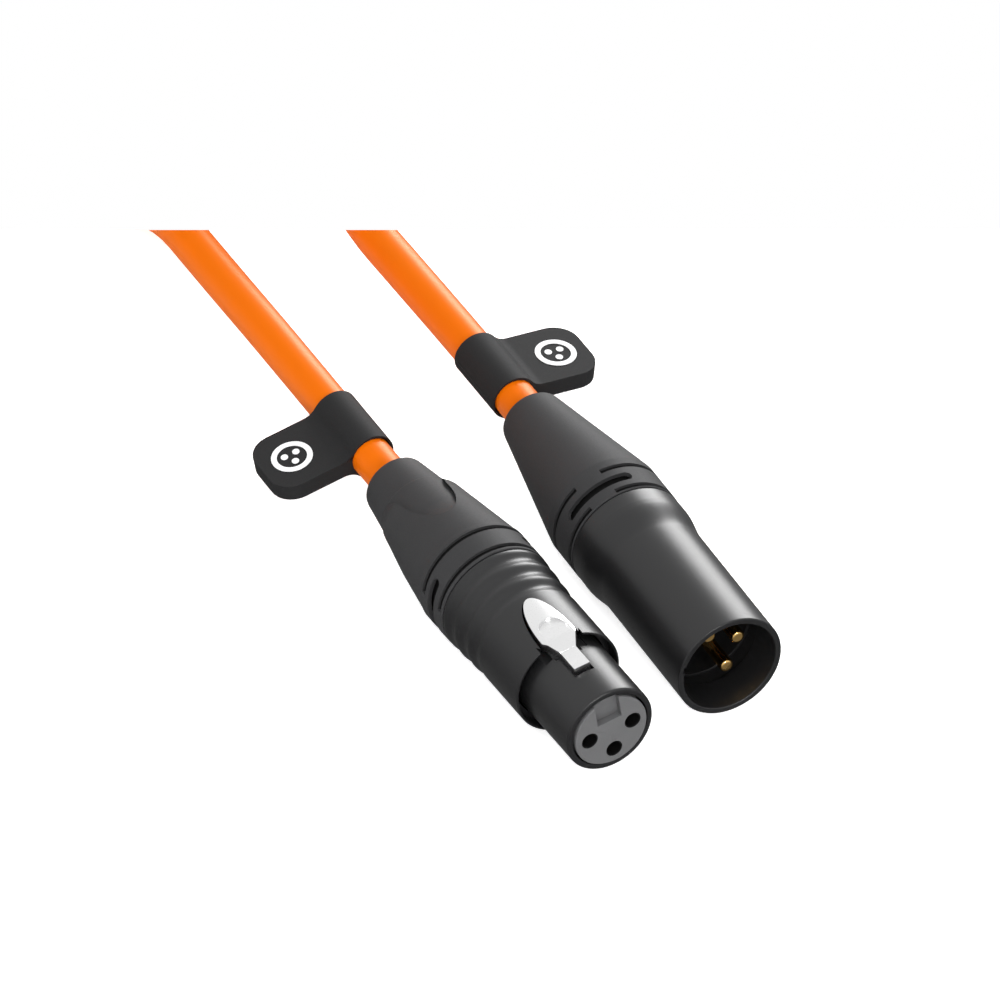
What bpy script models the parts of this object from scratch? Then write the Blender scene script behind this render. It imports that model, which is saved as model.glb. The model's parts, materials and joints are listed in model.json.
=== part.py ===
"""Three-metre microphone cable with a latching female connector and a male connector.

Each connector is modelled in its own frame: the origin is the centre of its front face, +Z runs
back along its axis towards the cable, and +X points to its key. An empty places that frame.
"""

import math

import bmesh
import bpy
from mathutils import Matrix, Vector

MM = 0.001

# Fits
GAP = 0.3 * MM  # between pieces that touch
SLIDE = 0.4 * MM  # around a piece that moves

# Placement of the two connectors
AXIS_HEIGHT = 10.26 * MM
FEMALE_FRONT = (-12.34 * MM, -38.41 * MM)
MALE_FRONT = (12.49 * MM, -33.22 * MM)
FEMALE_YAW = math.radians(1.33)
MALE_YAW = math.radians(-1.16)
FEMALE_KEY = math.radians(98)  # direction of the key, from +X towards +Z
MALE_KEY = math.radians(204)

# Shared sizes
CORD_RADIUS = 3.5 * MM
PIN_CIRCLE = 4.05 * MM
BODY_RADIUS = 10.26 * MM  # widest turn of both connectors
NECK_RADIUS = 7.9 * MM  # threaded neck that the gland nut screws onto
NECK_WALL = 1.3 * MM
NECK_LENGTH = 7.0 * MM
THREAD_PITCH = 1.0 * MM
THREAD_DEPTH = 0.35 * MM
THREAD_TURNS = 4
BORE_CLEARANCE = 0.35 * MM  # between the cord and what slides over it

# Female shell and nose
NOSE_RADIUS = 8.0 * MM
NOSE_WALL = 1.05 * MM
NOSE_LENGTH = 23.6 * MM
NOSE_SETBACK = 0.35 * MM  # nose rim behind the insert's face
RIM_DEPTH = 14.3 * MM  # front rim of the shell behind the face
FEMALE_BODY_RADIUS = 9.63 * MM
RECESS_RADIUS = 8.9 * MM
RECESS_DEPTH = 2.5 * MM
FEMALE_SHELL_REAR = 37.9 * MM
RIDGE_PITCH = 3.7 * MM
RIDGES = 3
RIDGE_HEIGHT = 0.16 * MM

# Female insert and contacts
KEYWAY_WIDTH = 4.5 * MM
KEYWAY_DEPTH = 1.2 * MM
KEYWAY_FLOOR = 2.2 * MM
INSERT_LENGTH = 21.5 * MM
CONTACT_RADIUS = 1.75 * MM
CONTACT_BORE = 1.25 * MM
CONTACT_SETBACK = 3.0 * MM
CONTACT_LENGTH = 24.0 * MM
HOLE_RADIUS = 1.45 * MM
CUP_DEPTH = 2.5 * MM
CUP_BORE = 0.95 * MM

# Latch
LATCH_FRONT = 15.0 * MM
LATCH_REAR = 25.3 * MM
LATCH_HALF_WIDTH = 3.15 * MM
LATCH_TOP = 10.3 * MM
LATCH_UNDER = 8.7 * MM
HOOK_TIP = 7.5 * MM
HOOK_REAR = 12.1 * MM
HOOK_HALF_WIDTH = 1.45 * MM
HOOK_TOP = 9.15 * MM
HOOK_UNDER = 8.3 * MM
HOOK_TOOTH = 7.55 * MM
TOOTH_LENGTH = 1.1 * MM
LATCH_PIVOT = (9.4 * MM, 25.0 * MM)
LATCH_DROP = 1.5 * MM  # room that the pressed hook needs below its tooth

# Male shell, insert and pins
MALE_RADIUS = 9.5 * MM
MALE_WALL = 1.1 * MM
FLARE_START = 27.3 * MM
FLARE_END = 33.6 * MM
MALE_SHELL_REAR = 36.6 * MM
MALE_INSERT_FACE = 15.8 * MM
MALE_INSERT_LENGTH = 9.0 * MM
PIN_RADIUS = 1.2 * MM
PIN_TIP = 4.1 * MM
PIN_LENGTH = 23.4 * MM
CATCH_START = 6.8 * MM
CATCH_LENGTH = 3.0 * MM
CATCH_DEPTH = 0.45 * MM

# Gland: chuck, nut and rubber boot
CHUCK_RADIUS = 6.1 * MM
CHUCK_TAIL = 5.0 * MM
CHUCK_LENGTH = 11.6 * MM
CHUCK_FRONT_IN_NECK = 1.0 * MM
SLIT_WIDTH = 0.8 * MM
NUT_WALL = 1.0 * MM
NUT_STRAIGHT = 7.2 * MM
NUT_TAPER = 6.2 * MM
NUT_REAR_RADIUS = 7.1 * MM
BOOT_EDGE = 1.0 * MM
FEMALE_BOOT_REAR = 72.5 * MM
FEMALE_CONE_START = 46.2 * MM
FEMALE_CONE_RADIUS = 10.12 * MM
FEMALE_CONE_SLOPE = 0.147
GRIP_DEPTH = 0.75 * MM  # step from the boot's petals down to its grip scoops
GRIP_START = 54.0 * MM
GRIP_FULL = 59.6 * MM
GRIP_REAR = 64.5 * MM
GRIP_HALF_WIDTH = 4.4 * MM
GRIP_SLOPE = 0.1525
MALE_BOOT_REAR = 71.7 * MM
MALE_CONE_START = 45.2 * MM
MALE_CONE_SLOPE = 0.1853
SLOT_DEPTH = 1.4 * MM
SLOT_WIDTH = 1.9 * MM
SLOT_SPAN = math.radians(74)
GROOVE_WIDTH = 0.55 * MM
GROOVE_DEPTH = 0.45 * MM
GROOVE_SPAN = math.radians(152)
FEMALE_GROOVES = (39.25 * MM, 42.0 * MM, 44.45 * MM)  # groove, slot, groove behind the face
MALE_GROOVES = (37.6 * MM, 40.0 * MM, 43.3 * MM)

# Conductors and the cable's prepared end
WIRE_RADIUS = 0.65 * MM
WIRE_LAY = 1.55 * MM  # radius at which the conductors enter the jacket
JACKET_FRONT = 31.5 * MM
CORD_START = 46.5 * MM
CLIP_WALL = 0.4 * MM

# Tags on the cord
TAG_BORE = CORD_RADIUS + GAP
TAG_WALL = 0.45 * MM
TAG_LENGTH = 13.4 * MM
FLAG_REACH = 16.9 * MM
FLAG_THICKNESS = 3.0 * MM
FLAG_CORNER = 4.2 * MM
FEMALE_TAG_START = 80.4 * MM  # behind the connector's front face
MALE_TAG_START = 77.5 * MM
FEMALE_FLAG = math.radians(190.3)
MALE_FLAG = math.radians(-5.5)

# Coil
COIL_CENTRE = Vector((0.0, 169.5 * MM))
TURN_PITCH = 2 * CORD_RADIUS + 0.15 * MM
INNER_TURN = 29.0 * MM
COLUMNS = 3
LAYERS = 4
COIL_SLACK = 0.6 * MM
OUTER_TURN = INNER_TURN + (COLUMNS - 1) * TURN_PITCH
COIL_INNER = INNER_TURN - CORD_RADIUS - COIL_SLACK
COIL_OUTER = OUTER_TURN + CORD_RADIUS + COIL_SLACK
COIL_HEIGHT = LAYERS * TURN_PITCH + COIL_SLACK
TIE_WIDTH = 16.0 * MM
TIE_WALL = 1.3 * MM
TIE_LIFT = 0.2 * MM

# Where each lead runs from its connector to the coil: x, y and z of its middle line, in mm
FEMALE_ROUTE = [
    (-14.03, 40, 10.26), (-14.0, 52, 10.25), (-13.97, 66, 10.2), (-13.95, 80, 10.1), (-13.95, 94, 9.85),
    (-13.95, 104, 9.75), (-13.95, 112, 9.4), (-14.7, 119.1, 8.1), (-17.0, 124.9, 6.4), (-20.5, 130, 4.9),
    (-25.0, 134.1, 3.9), (-31.2, 139.4, 3.6), (-36.3, 145.9, 3.55),
]
MALE_ROUTE = [
    (13.95, 44, 10.26), (13.93, 56, 10.2), (13.9, 70, 10.05), (13.88, 84, 9.75), (13.88, 94, 9.6),
    (13.9, 101, 10.7), (13.95, 107, 12.9), (14.0, 113, 15.8), (14.8, 119.1, 19.2), (17.0, 124.9, 22.4),
    (20.5, 130, 24.4), (25.0, 134.1, 24.85), (31.2, 139.4, 24.7), (36.3, 145.9, 24.65),
]

STEPS_LARGE = 40
STEPS_MEDIUM = 24
STEPS_SMALL = 14
CORD_SIDES = 3

parts = bpy.data.collections.new("xlr_cable")
helpers = bpy.data.collections.new("cutters")


# Materials


def finish(name, colour, roughness, metallic=0.0):
    material = bpy.data.materials.new(name)
    material.use_nodes = True
    shader = material.node_tree.nodes["Principled BSDF"]
    shader.inputs["Base Color"].default_value = (*colour, 1.0)
    shader.inputs["Roughness"].default_value = roughness
    shader.inputs["Metallic"].default_value = metallic
    return material


def make_finishes():
    return {
        "black_shell": finish("black_shell", (0.045, 0.045, 0.047), 0.38, 0.6),
        "nickel": finish("nickel", (0.72, 0.72, 0.72), 0.25, 1.0),
        "gold": finish("gold", (0.78, 0.52, 0.2), 0.25, 1.0),
        "steel": finish("steel", (0.5, 0.5, 0.5), 0.35, 1.0),
        "insert": finish("insert", (0.05, 0.05, 0.052), 0.55),
        "nylon": finish("nylon", (0.03, 0.03, 0.03), 0.5),
        "boot_rubber": finish("boot_rubber", (0.055, 0.055, 0.055), 0.75),
        "tag_rubber": finish("tag_rubber", (0.02, 0.02, 0.02), 0.8),
        "orange_jacket": finish("orange_jacket", (0.89, 0.17, 0.004), 0.45),
        "hook_and_loop": finish("hook_and_loop", (0.02, 0.02, 0.02), 0.95),
        "red_wire": finish("red_wire", (0.5, 0.02, 0.02), 0.5),
        "white_wire": finish("white_wire", (0.7, 0.7, 0.7), 0.5),
        "bare_wire": finish("bare_wire", (0.6, 0.32, 0.16), 0.35, 1.0),
    }


# Modelling helpers


def add(name, data, frame, material=None, helper=False):
    """A new object in the right collection, placed by its parent."""
    obj = bpy.data.objects.new(name, data)
    (helpers if helper else parts).objects.link(obj)
    obj.parent = frame
    if material:
        data.materials.append(material)
    if helper:
        obj.hide_render = True
        obj.display_type = "WIRE"
    return obj


def empty(name, matrix):
    obj = bpy.data.objects.new(name, None)
    parts.objects.link(obj)
    obj.matrix_world = matrix
    return obj


def turned(name, profile, steps, frame, material=None, closed=False, helper=False):
    """A body of revolution about Z from (radius, z) points that run down its outer side."""
    mesh = bpy.data.meshes.new(name)
    bm = bmesh.new()
    verts = [bm.verts.new((r, 0, z)) for r, z in profile]
    for first, second in zip(verts, verts[1:]):
        bm.edges.new((first, second))
    if closed:
        bm.edges.new((verts[-1], verts[0]))
    bm.to_mesh(mesh)
    bm.free()
    obj = add(name, mesh, frame, material, helper)
    screw = obj.modifiers.new("turn", "SCREW")
    screw.steps = steps
    screw.render_steps = steps
    screw.use_merge_vertices = True
    screw.merge_threshold = 1e-6
    screw.use_smooth_shade = True
    return obj


def block(name, low, high, frame, helper=True, material=None):
    """A box between two corners."""
    low, high = Vector(low), Vector(high)
    size = high - low
    place = Matrix.Translation((low + high) / 2) @ Matrix.Diagonal((*size, 1))
    mesh = bpy.data.meshes.new(name)
    bm = bmesh.new()
    bmesh.ops.create_cube(bm, size=1, matrix=place)
    bm.to_mesh(mesh)
    bm.free()
    return add(name, mesh, frame, material, helper)


def rod(name, radius, z0, z1, centre, frame, steps=STEPS_SMALL):
    """A cylinder cutter along Z."""
    mesh = bpy.data.meshes.new(name)
    bm = bmesh.new()
    place = Matrix.Translation((*centre, (z0 + z1) / 2))
    bmesh.ops.create_cone(
        bm, cap_ends=True, segments=steps, radius1=radius, radius2=radius, depth=z1 - z0, matrix=place
    )
    bm.to_mesh(mesh)
    bm.free()
    return add(name, mesh, frame, helper=True)


def arc_cutter(name, r0, r1, z0, z1, middle, span, frame):
    """Part of a ring with a rectangular section, centred on the angle middle."""
    mesh = bpy.data.meshes.new(name)
    bm = bmesh.new()
    start = middle - span / 2
    turn = Matrix.Rotation(start, 4, "Z")
    corners = [(r0, 0, z0), (r1, 0, z0), (r1, 0, z1), (r0, 0, z1)]
    face = bm.faces.new([bm.verts.new(turn @ Vector(c)) for c in corners])
    steps = max(4, round(span / math.radians(12)))
    bmesh.ops.spin(bm, geom=[face], cent=(0, 0, 0), axis=(0, 0, 1), angle=span, steps=steps)
    bmesh.ops.recalc_face_normals(bm, faces=bm.faces)
    bm.to_mesh(mesh)
    bm.free()
    return add(name, mesh, frame, helper=True)


def meshed(obj, name, helper, material=None):
    """A curve object made a mesh, with its caps welded."""
    bpy.context.view_layer.update()
    graph = bpy.context.evaluated_depsgraph_get()
    mesh = bpy.data.meshes.new_from_object(obj.evaluated_get(graph))
    bm = bmesh.new()
    bm.from_mesh(mesh)
    bmesh.ops.remove_doubles(bm, verts=bm.verts, dist=1e-6)
    bmesh.ops.recalc_face_normals(bm, faces=bm.faces)
    bm.to_mesh(mesh)
    bm.free()
    mesh.materials.clear()
    made = add(name, mesh, None, material, helper)
    made.matrix_world = obj.matrix_world
    bpy.data.objects.remove(obj)
    return made


def plate(name, outline, thickness, place, frame, material=None, helper=False):
    """A flat outline, drawn in its own XY plane, given a thickness along its own Z."""
    curve = bpy.data.curves.new(name, "CURVE")
    curve.dimensions = "2D"
    curve.fill_mode = "BOTH"
    curve.extrude = thickness / 2
    spline = curve.splines.new("POLY")
    spline.points.add(len(outline) - 1)
    for point, (x, y) in zip(spline.points, outline):
        point.co = (x, y, 0, 1)
    spline.use_cyclic_u = True
    obj = bpy.data.objects.new(name + "_outline", curve)
    helpers.objects.link(obj)
    obj.matrix_world = (frame.matrix_world if frame else Matrix()) @ place
    return meshed(obj, name, helper, material)


def tube(name, points, radius, frame, material, sides=2):
    """A round tube through the points."""
    curve = bpy.data.curves.new(name, "CURVE")
    curve.dimensions = "3D"
    curve.bevel_depth = radius
    curve.bevel_resolution = sides
    curve.use_fill_caps = True
    spline = curve.splines.new("POLY")
    spline.points.add(len(points) - 1)
    for point, co in zip(spline.points, points):
        point.co = (*co, 1)
    return add(name, curve, frame, material)


def combine(obj, other, operation):
    change = obj.modifiers.new(f"{operation.lower()}_{other.name}", "BOOLEAN")
    change.operation = operation
    change.object = other


def smooth(obj, angle=35):
    obj.data.shade_smooth()
    obj.data.set_sharp_from_angle(angle=math.radians(angle))


def polar(radius, angle):
    return radius * math.cos(angle), radius * math.sin(angle)


def connector_frame(name, front, yaw, key):
    """The empty that holds a connector: local +Z runs to the rear and local +X to the key."""
    axis = Vector((-math.sin(yaw), math.cos(yaw), 0))
    side = Vector((math.cos(yaw), math.sin(yaw), 0))
    up = side * math.cos(key) + Vector((0, 0, math.sin(key)))
    matrix = Matrix((up, axis.cross(up), axis)).transposed().to_4x4()
    matrix.translation = (*front, AXIS_HEIGHT)
    return empty(name, matrix)


def spline_through(points, spacing):
    """Points about spacing apart on the smooth curve through the given ones."""
    path = [Vector(p) for p in points]
    path = [2 * path[0] - path[1], *path, 2 * path[-1] - path[-2]]
    made = [path[1]]
    for a, b, c, d in zip(path, path[1:], path[2:], path[3:]):
        count = max(1, round((c - b).length / spacing))
        for k in range(1, count + 1):
            t = k / count
            made.append(
                0.5
                * (
                    2 * b
                    + (c - a) * t
                    + (2 * a - 5 * b + 4 * c - d) * t * t
                    + (3 * b - a - 3 * c + d) * t**3
                )
            )
    return made


# Pieces that both connectors have


def neck_profile(rear):
    """The threaded neck's outer side, from its rear end down to the shell's shoulder."""
    end = rear + NECK_LENGTH
    points = [(NECK_RADIUS - THREAD_DEPTH, end)]
    for turn in range(THREAD_TURNS + 1):
        z = end - (turn + 0.5) * THREAD_PITCH
        points.append((NECK_RADIUS, z + THREAD_PITCH * 0.12))
        points.append((NECK_RADIUS, z - THREAD_PITCH * 0.12))
        points.append((NECK_RADIUS - THREAD_DEPTH, z - THREAD_PITCH * 0.5))
    points.append((NECK_RADIUS - THREAD_DEPTH, rear))
    return points


def make_gland(prefix, frame, shell_rear, grooves, cone, boot_rear, finishes):
    """The chuck, the nut and the boot's plain body behind one shell."""
    bore = CORD_RADIUS + BORE_CLEARANCE
    front = shell_rear + CHUCK_FRONT_IN_NECK
    chuck_end = front + CHUCK_LENGTH
    neck_end = shell_rear + NECK_LENGTH
    chuck = turned(
        prefix + "_chuck",
        [
            (bore, chuck_end),
            (CHUCK_TAIL, chuck_end),
            (CHUCK_RADIUS, neck_end + GAP),
            (CHUCK_RADIUS, front),
            (bore, front),
        ],
        STEPS_MEDIUM,
        frame,
        finishes["nylon"],
        closed=True,
    )
    for k in range(2):
        reach = [CHUCK_RADIUS * 1.5, SLIT_WIDTH / 2]
        low = (-reach[k], -reach[1 - k], front + CHUCK_LENGTH * 0.3)
        high = (reach[k], reach[1 - k], chuck_end + GAP)
        combine(chuck, block(f"{prefix}_chuck_slit_{k}", low, high, frame), "DIFFERENCE")

    nut_bore = NECK_RADIUS + GAP
    nut_outer = nut_bore + NUT_WALL
    nut_front = shell_rear + 2 * GAP
    straight_end = nut_front + NUT_STRAIGHT
    nut_end = straight_end + NUT_TAPER
    seat = chuck_end + GAP
    nut = turned(
        prefix + "_gland_nut",
        [
            (bore + GAP, nut_end),
            (NUT_REAR_RADIUS, nut_end),
            (nut_outer, straight_end),
            (nut_outer, nut_front),
            (nut_bore, nut_front),
            (nut_bore, neck_end + GAP),
            (CHUCK_RADIUS + GAP, neck_end + 2 * GAP),
            (CHUCK_TAIL + GAP, seat),
            (bore + GAP, seat),
        ],
        STEPS_LARGE,
        frame,
        finishes["nylon"],
        closed=True,
    )
    smooth(nut)

    cavity = nut_outer + GAP
    boot = turned(
        prefix + "_boot",
        [
            (bore, boot_rear),
            *cone,
            (BODY_RADIUS - 0.1 * MM, shell_rear + GAP),
            (cavity, shell_rear + GAP),
            (cavity, straight_end + GAP),
            (NUT_REAR_RADIUS + GAP, nut_end + GAP),
            (bore, nut_end + GAP),
        ],
        STEPS_LARGE,
        frame,
        finishes["boot_rubber"],
        closed=True,
    )
    first, slot, last = grooves
    for side in (1, -1):
        middle = side * math.pi / 2
        cutters = [
            arc_cutter(
                f"{prefix}_slot_{side}",
                BODY_RADIUS - SLOT_DEPTH,
                BODY_RADIUS + GAP,
                slot - SLOT_WIDTH / 2,
                slot + SLOT_WIDTH / 2,
                middle,
                SLOT_SPAN,
                frame,
            )
        ]
        for k, groove in enumerate((first, last)):
            cutters.append(
                arc_cutter(
                    f"{prefix}_groove_{k}_{side}",
                    BODY_RADIUS - GROOVE_DEPTH,
                    BODY_RADIUS + GAP,
                    groove - GROOVE_WIDTH / 2,
                    groove + GROOVE_WIDTH / 2,
                    middle + math.pi / 2,
                    GROOVE_SPAN,
                    frame,
                )
            )
        for cutter in cutters:
            combine(boot, cutter, "DIFFERENCE")
    return boot


def make_wiring(prefix, frame, angles, cup_end, finishes):
    """Three conductors from the solder cups to the prepared end of the cable."""
    names = ("bare_wire", "red_wire", "white_wire")
    for k, angle in enumerate(angles):
        outer = Vector((*polar(PIN_CIRCLE, angle), cup_end + GAP))
        inner = Vector((*polar(WIRE_LAY, angle), JACKET_FRONT - GAP))
        bend = Vector((0, 0, (inner.z - outer.z) * 0.4))
        points = spline_through([outer, outer + bend, inner - bend, inner], 1.6 * MM)
        tube(f"{prefix}_conductor_{k + 1}", points, WIRE_RADIUS, frame, finishes[names[k]])
    jacket = turned(
        prefix + "_cable_end",
        [(0, CORD_START - GAP), (CORD_RADIUS, CORD_START - GAP), (CORD_RADIUS, JACKET_FRONT), (0, JACKET_FRONT)],
        STEPS_MEDIUM,
        frame,
        finishes["orange_jacket"],
    )
    return jacket


def make_ground_clip(prefix, frame, inner, z0, z1, finishes):
    """A sprung earth clip: an open ring round the back of the insert."""
    clip = turned(
        prefix + "_ground_clip",
        [(inner + CLIP_WALL, z1), (inner + CLIP_WALL, z0), (inner, z0), (inner, z1)],
        STEPS_MEDIUM,
        frame,
        finishes["steel"],
        closed=True,
    )
    gap = 2.0 * MM
    high = (inner * 2, gap, z1 + GAP)
    combine(clip, block(prefix + "_clip_gap", (0, -gap, z0 - GAP), high, frame), "DIFFERENCE")


def make_tag(prefix, x, front, direction, finishes):
    """A rubber ring on the cord with a flag; the origin lies on the cord's middle line."""
    frame = empty(prefix + "_tag_frame", Matrix.Translation((x, front, AXIS_HEIGHT)))
    outer = TAG_BORE + TAG_WALL
    ring = turned(
        prefix + "_tag",
        [(TAG_BORE, TAG_LENGTH), (outer, TAG_LENGTH), (outer, 0), (TAG_BORE, 0)],
        STEPS_MEDIUM,
        frame,
        finishes["tag_rubber"],
        closed=True,
    )
    ring.rotation_euler = (-math.pi / 2, 0, 0)
    outline = [(0, 0)]
    for corner in range(2):
        middle = (FLAG_REACH - FLAG_CORNER, FLAG_CORNER + corner * (TAG_LENGTH - 2 * FLAG_CORNER))
        for k in range(6):
            angle = math.radians(-90 + 90 * corner + 18 * k)
            outline.append((middle[0] + FLAG_CORNER * math.cos(angle), middle[1] + FLAG_CORNER * math.sin(angle)))
    outline.append((0, TAG_LENGTH))
    place = Matrix.Rotation(-direction, 4, "Y")
    flag = plate(prefix + "_flag", outline, FLAG_THICKNESS, place, frame, helper=True)
    combine(ring, flag, "UNION")
    bore = turned(
        prefix + "_tag_bore",
        [(0, TAG_LENGTH * 1.5), (TAG_BORE, TAG_LENGTH * 1.5), (TAG_BORE, -TAG_LENGTH / 2), (0, -TAG_LENGTH / 2)],
        STEPS_MEDIUM,
        frame,
        helper=True,
    )
    bore.rotation_euler = (-math.pi / 2, 0, 0)
    combine(ring, bore, "DIFFERENCE")
    return ring


# Female connector


def female_shell_profile():
    """Outer side from the neck to the front rim, then the inside back to the neck's end."""
    rear = FEMALE_SHELL_REAR
    points = neck_profile(rear)
    points.append((BODY_RADIUS - 0.1 * MM, rear))
    first = rear - 0.3 * MM
    ridge_start = first - RIDGES * RIDGE_PITCH
    rise = (BODY_RADIUS - FEMALE_BODY_RADIUS) / RIDGES
    for ridge in range(RIDGES):
        crest = BODY_RADIUS - rise * ridge
        z = first - ridge * RIDGE_PITCH
        points.append((crest, z))
        points.append((crest - 0.2 * RIDGE_HEIGHT, z - 0.3 * RIDGE_PITCH))
        points.append((crest - rise / 2 - RIDGE_HEIGHT, z - 0.55 * RIDGE_PITCH))
        points.append((crest - rise - 0.2 * RIDGE_HEIGHT, z - 0.8 * RIDGE_PITCH))
    points.append((FEMALE_BODY_RADIUS, ridge_start))
    points.append((FEMALE_BODY_RADIUS, RIM_DEPTH + 0.3 * MM))
    points.append((FEMALE_BODY_RADIUS - 0.25 * MM, RIM_DEPTH))
    points.append((RECESS_RADIUS, RIM_DEPTH))
    points.append((RECESS_RADIUS, RIM_DEPTH + RECESS_DEPTH))
    seat = NOSE_RADIUS + GAP
    points.append((seat, RIM_DEPTH + RECESS_DEPTH))
    points.append((seat, rear - 2 * MM))
    points.append((NECK_RADIUS - NECK_WALL, rear))
    points.append((NECK_RADIUS - NECK_WALL, rear + NECK_LENGTH))
    return points


def latch_outline(clearance=0.0):
    """The latch seen from outside, as (z, y) points: a shield with a narrow hook in front."""
    half = LATCH_HALF_WIDTH + clearance
    length = LATCH_REAR - LATCH_FRONT + clearance
    rounded = []
    for k in range(13):
        angle = math.radians(90 - 15 * k)
        rounded.append((LATCH_FRONT + length * math.cos(angle), half * math.sin(angle)))
    return rounded


def make_latch(frame, finishes):
    """The latch lever: its origin is on the pivot, and the hook sweeps into the nose when pressed."""
    x0, z0 = LATCH_PIVOT
    pivot = empty("latch_pivot", frame.matrix_world @ Matrix.Translation((x0, 0, z0)))
    sides = [
        (HOOK_TIP, HOOK_TOP),
        (HOOK_REAR, HOOK_TOP),
        (LATCH_FRONT, LATCH_TOP + MM),
        (LATCH_REAR + MM, LATCH_TOP + MM),
        (LATCH_REAR + MM, LATCH_UNDER),
        (LATCH_FRONT + 1.2 * MM, LATCH_UNDER),
        (LATCH_FRONT + 0.4 * MM, HOOK_UNDER),
        (HOOK_TIP + TOOTH_LENGTH, HOOK_UNDER),
        (HOOK_TIP + TOOTH_LENGTH, HOOK_TOOTH),
        (HOOK_TIP, HOOK_TOOTH),
    ]
    # The lever's side view, extruded across the latch.
    across = Matrix.Translation((-x0, 0, -z0)) @ Matrix(((0, 1, 0, 0), (0, 0, -1, 0), (1, 0, 0, 0), (0, 0, 0, 1)))
    side_view = [(z, x) for z, x in sides]
    latch = plate("female_latch", side_view, 4 * LATCH_HALF_WIDTH, across, pivot, finishes["nickel"])
    keep_origin(latch, pivot)

    shield = latch_outline()
    hook = [
        (HOOK_REAR, -HOOK_HALF_WIDTH),
        (HOOK_TIP - MM, -HOOK_HALF_WIDTH),
        (HOOK_TIP - MM, HOOK_HALF_WIDTH),
        (HOOK_REAR, HOOK_HALF_WIDTH),
    ]
    down = Matrix.Translation((LATCH_TOP, 0, 0)) @ Matrix(
        ((0, 0, 1, 0), (0, 1, 0, 0), (-1, 0, 0, 0), (0, 0, 0, 1))
    )
    outline = [(-z, y) for z, y in shield + hook]
    top_view = plate("latch_top_view", outline, 3 * LATCH_TOP, down, frame, helper=True)
    combine(latch, top_view, "INTERSECT")
    crown = turned(
        "latch_crown",
        [(0, LATCH_REAR + 3 * MM), (LATCH_TOP, LATCH_REAR + 3 * MM), (LATCH_TOP, HOOK_TIP - 3 * MM), (0, HOOK_TIP - 3 * MM)],
        STEPS_LARGE * 2,
        frame,
        helper=True,
    )
    combine(latch, crown, "INTERSECT")


def keep_origin(obj, frame):
    """Moves the object's origin to the frame's without moving the object."""
    offset = frame.matrix_world.inverted() @ obj.matrix_world
    obj.data.transform(offset)
    obj.parent = frame
    obj.matrix_parent_inverse = Matrix()
    obj.matrix_basis = Matrix()


def make_leaf_spring(frame, finishes):
    """The leaf under the latch, fixed behind the pivot and free under the thumb pad."""
    path = [(7.35, 27.6), (7.3, 26.0), (7.35, 24.0), (7.6, 21.8), (7.75, 19.8)]
    thick = 0.25
    outline = [(z * MM, x * MM) for x, z in path] + [(z * MM, (x - thick) * MM) for x, z in reversed(path)]
    across = Matrix(((0, 1, 0, 0), (0, 0, -1, 0), (1, 0, 0, 0), (0, 0, 0, 1)))
    plate("latch_spring", outline, 2.6 * MM, across, frame, finishes["steel"])


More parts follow.
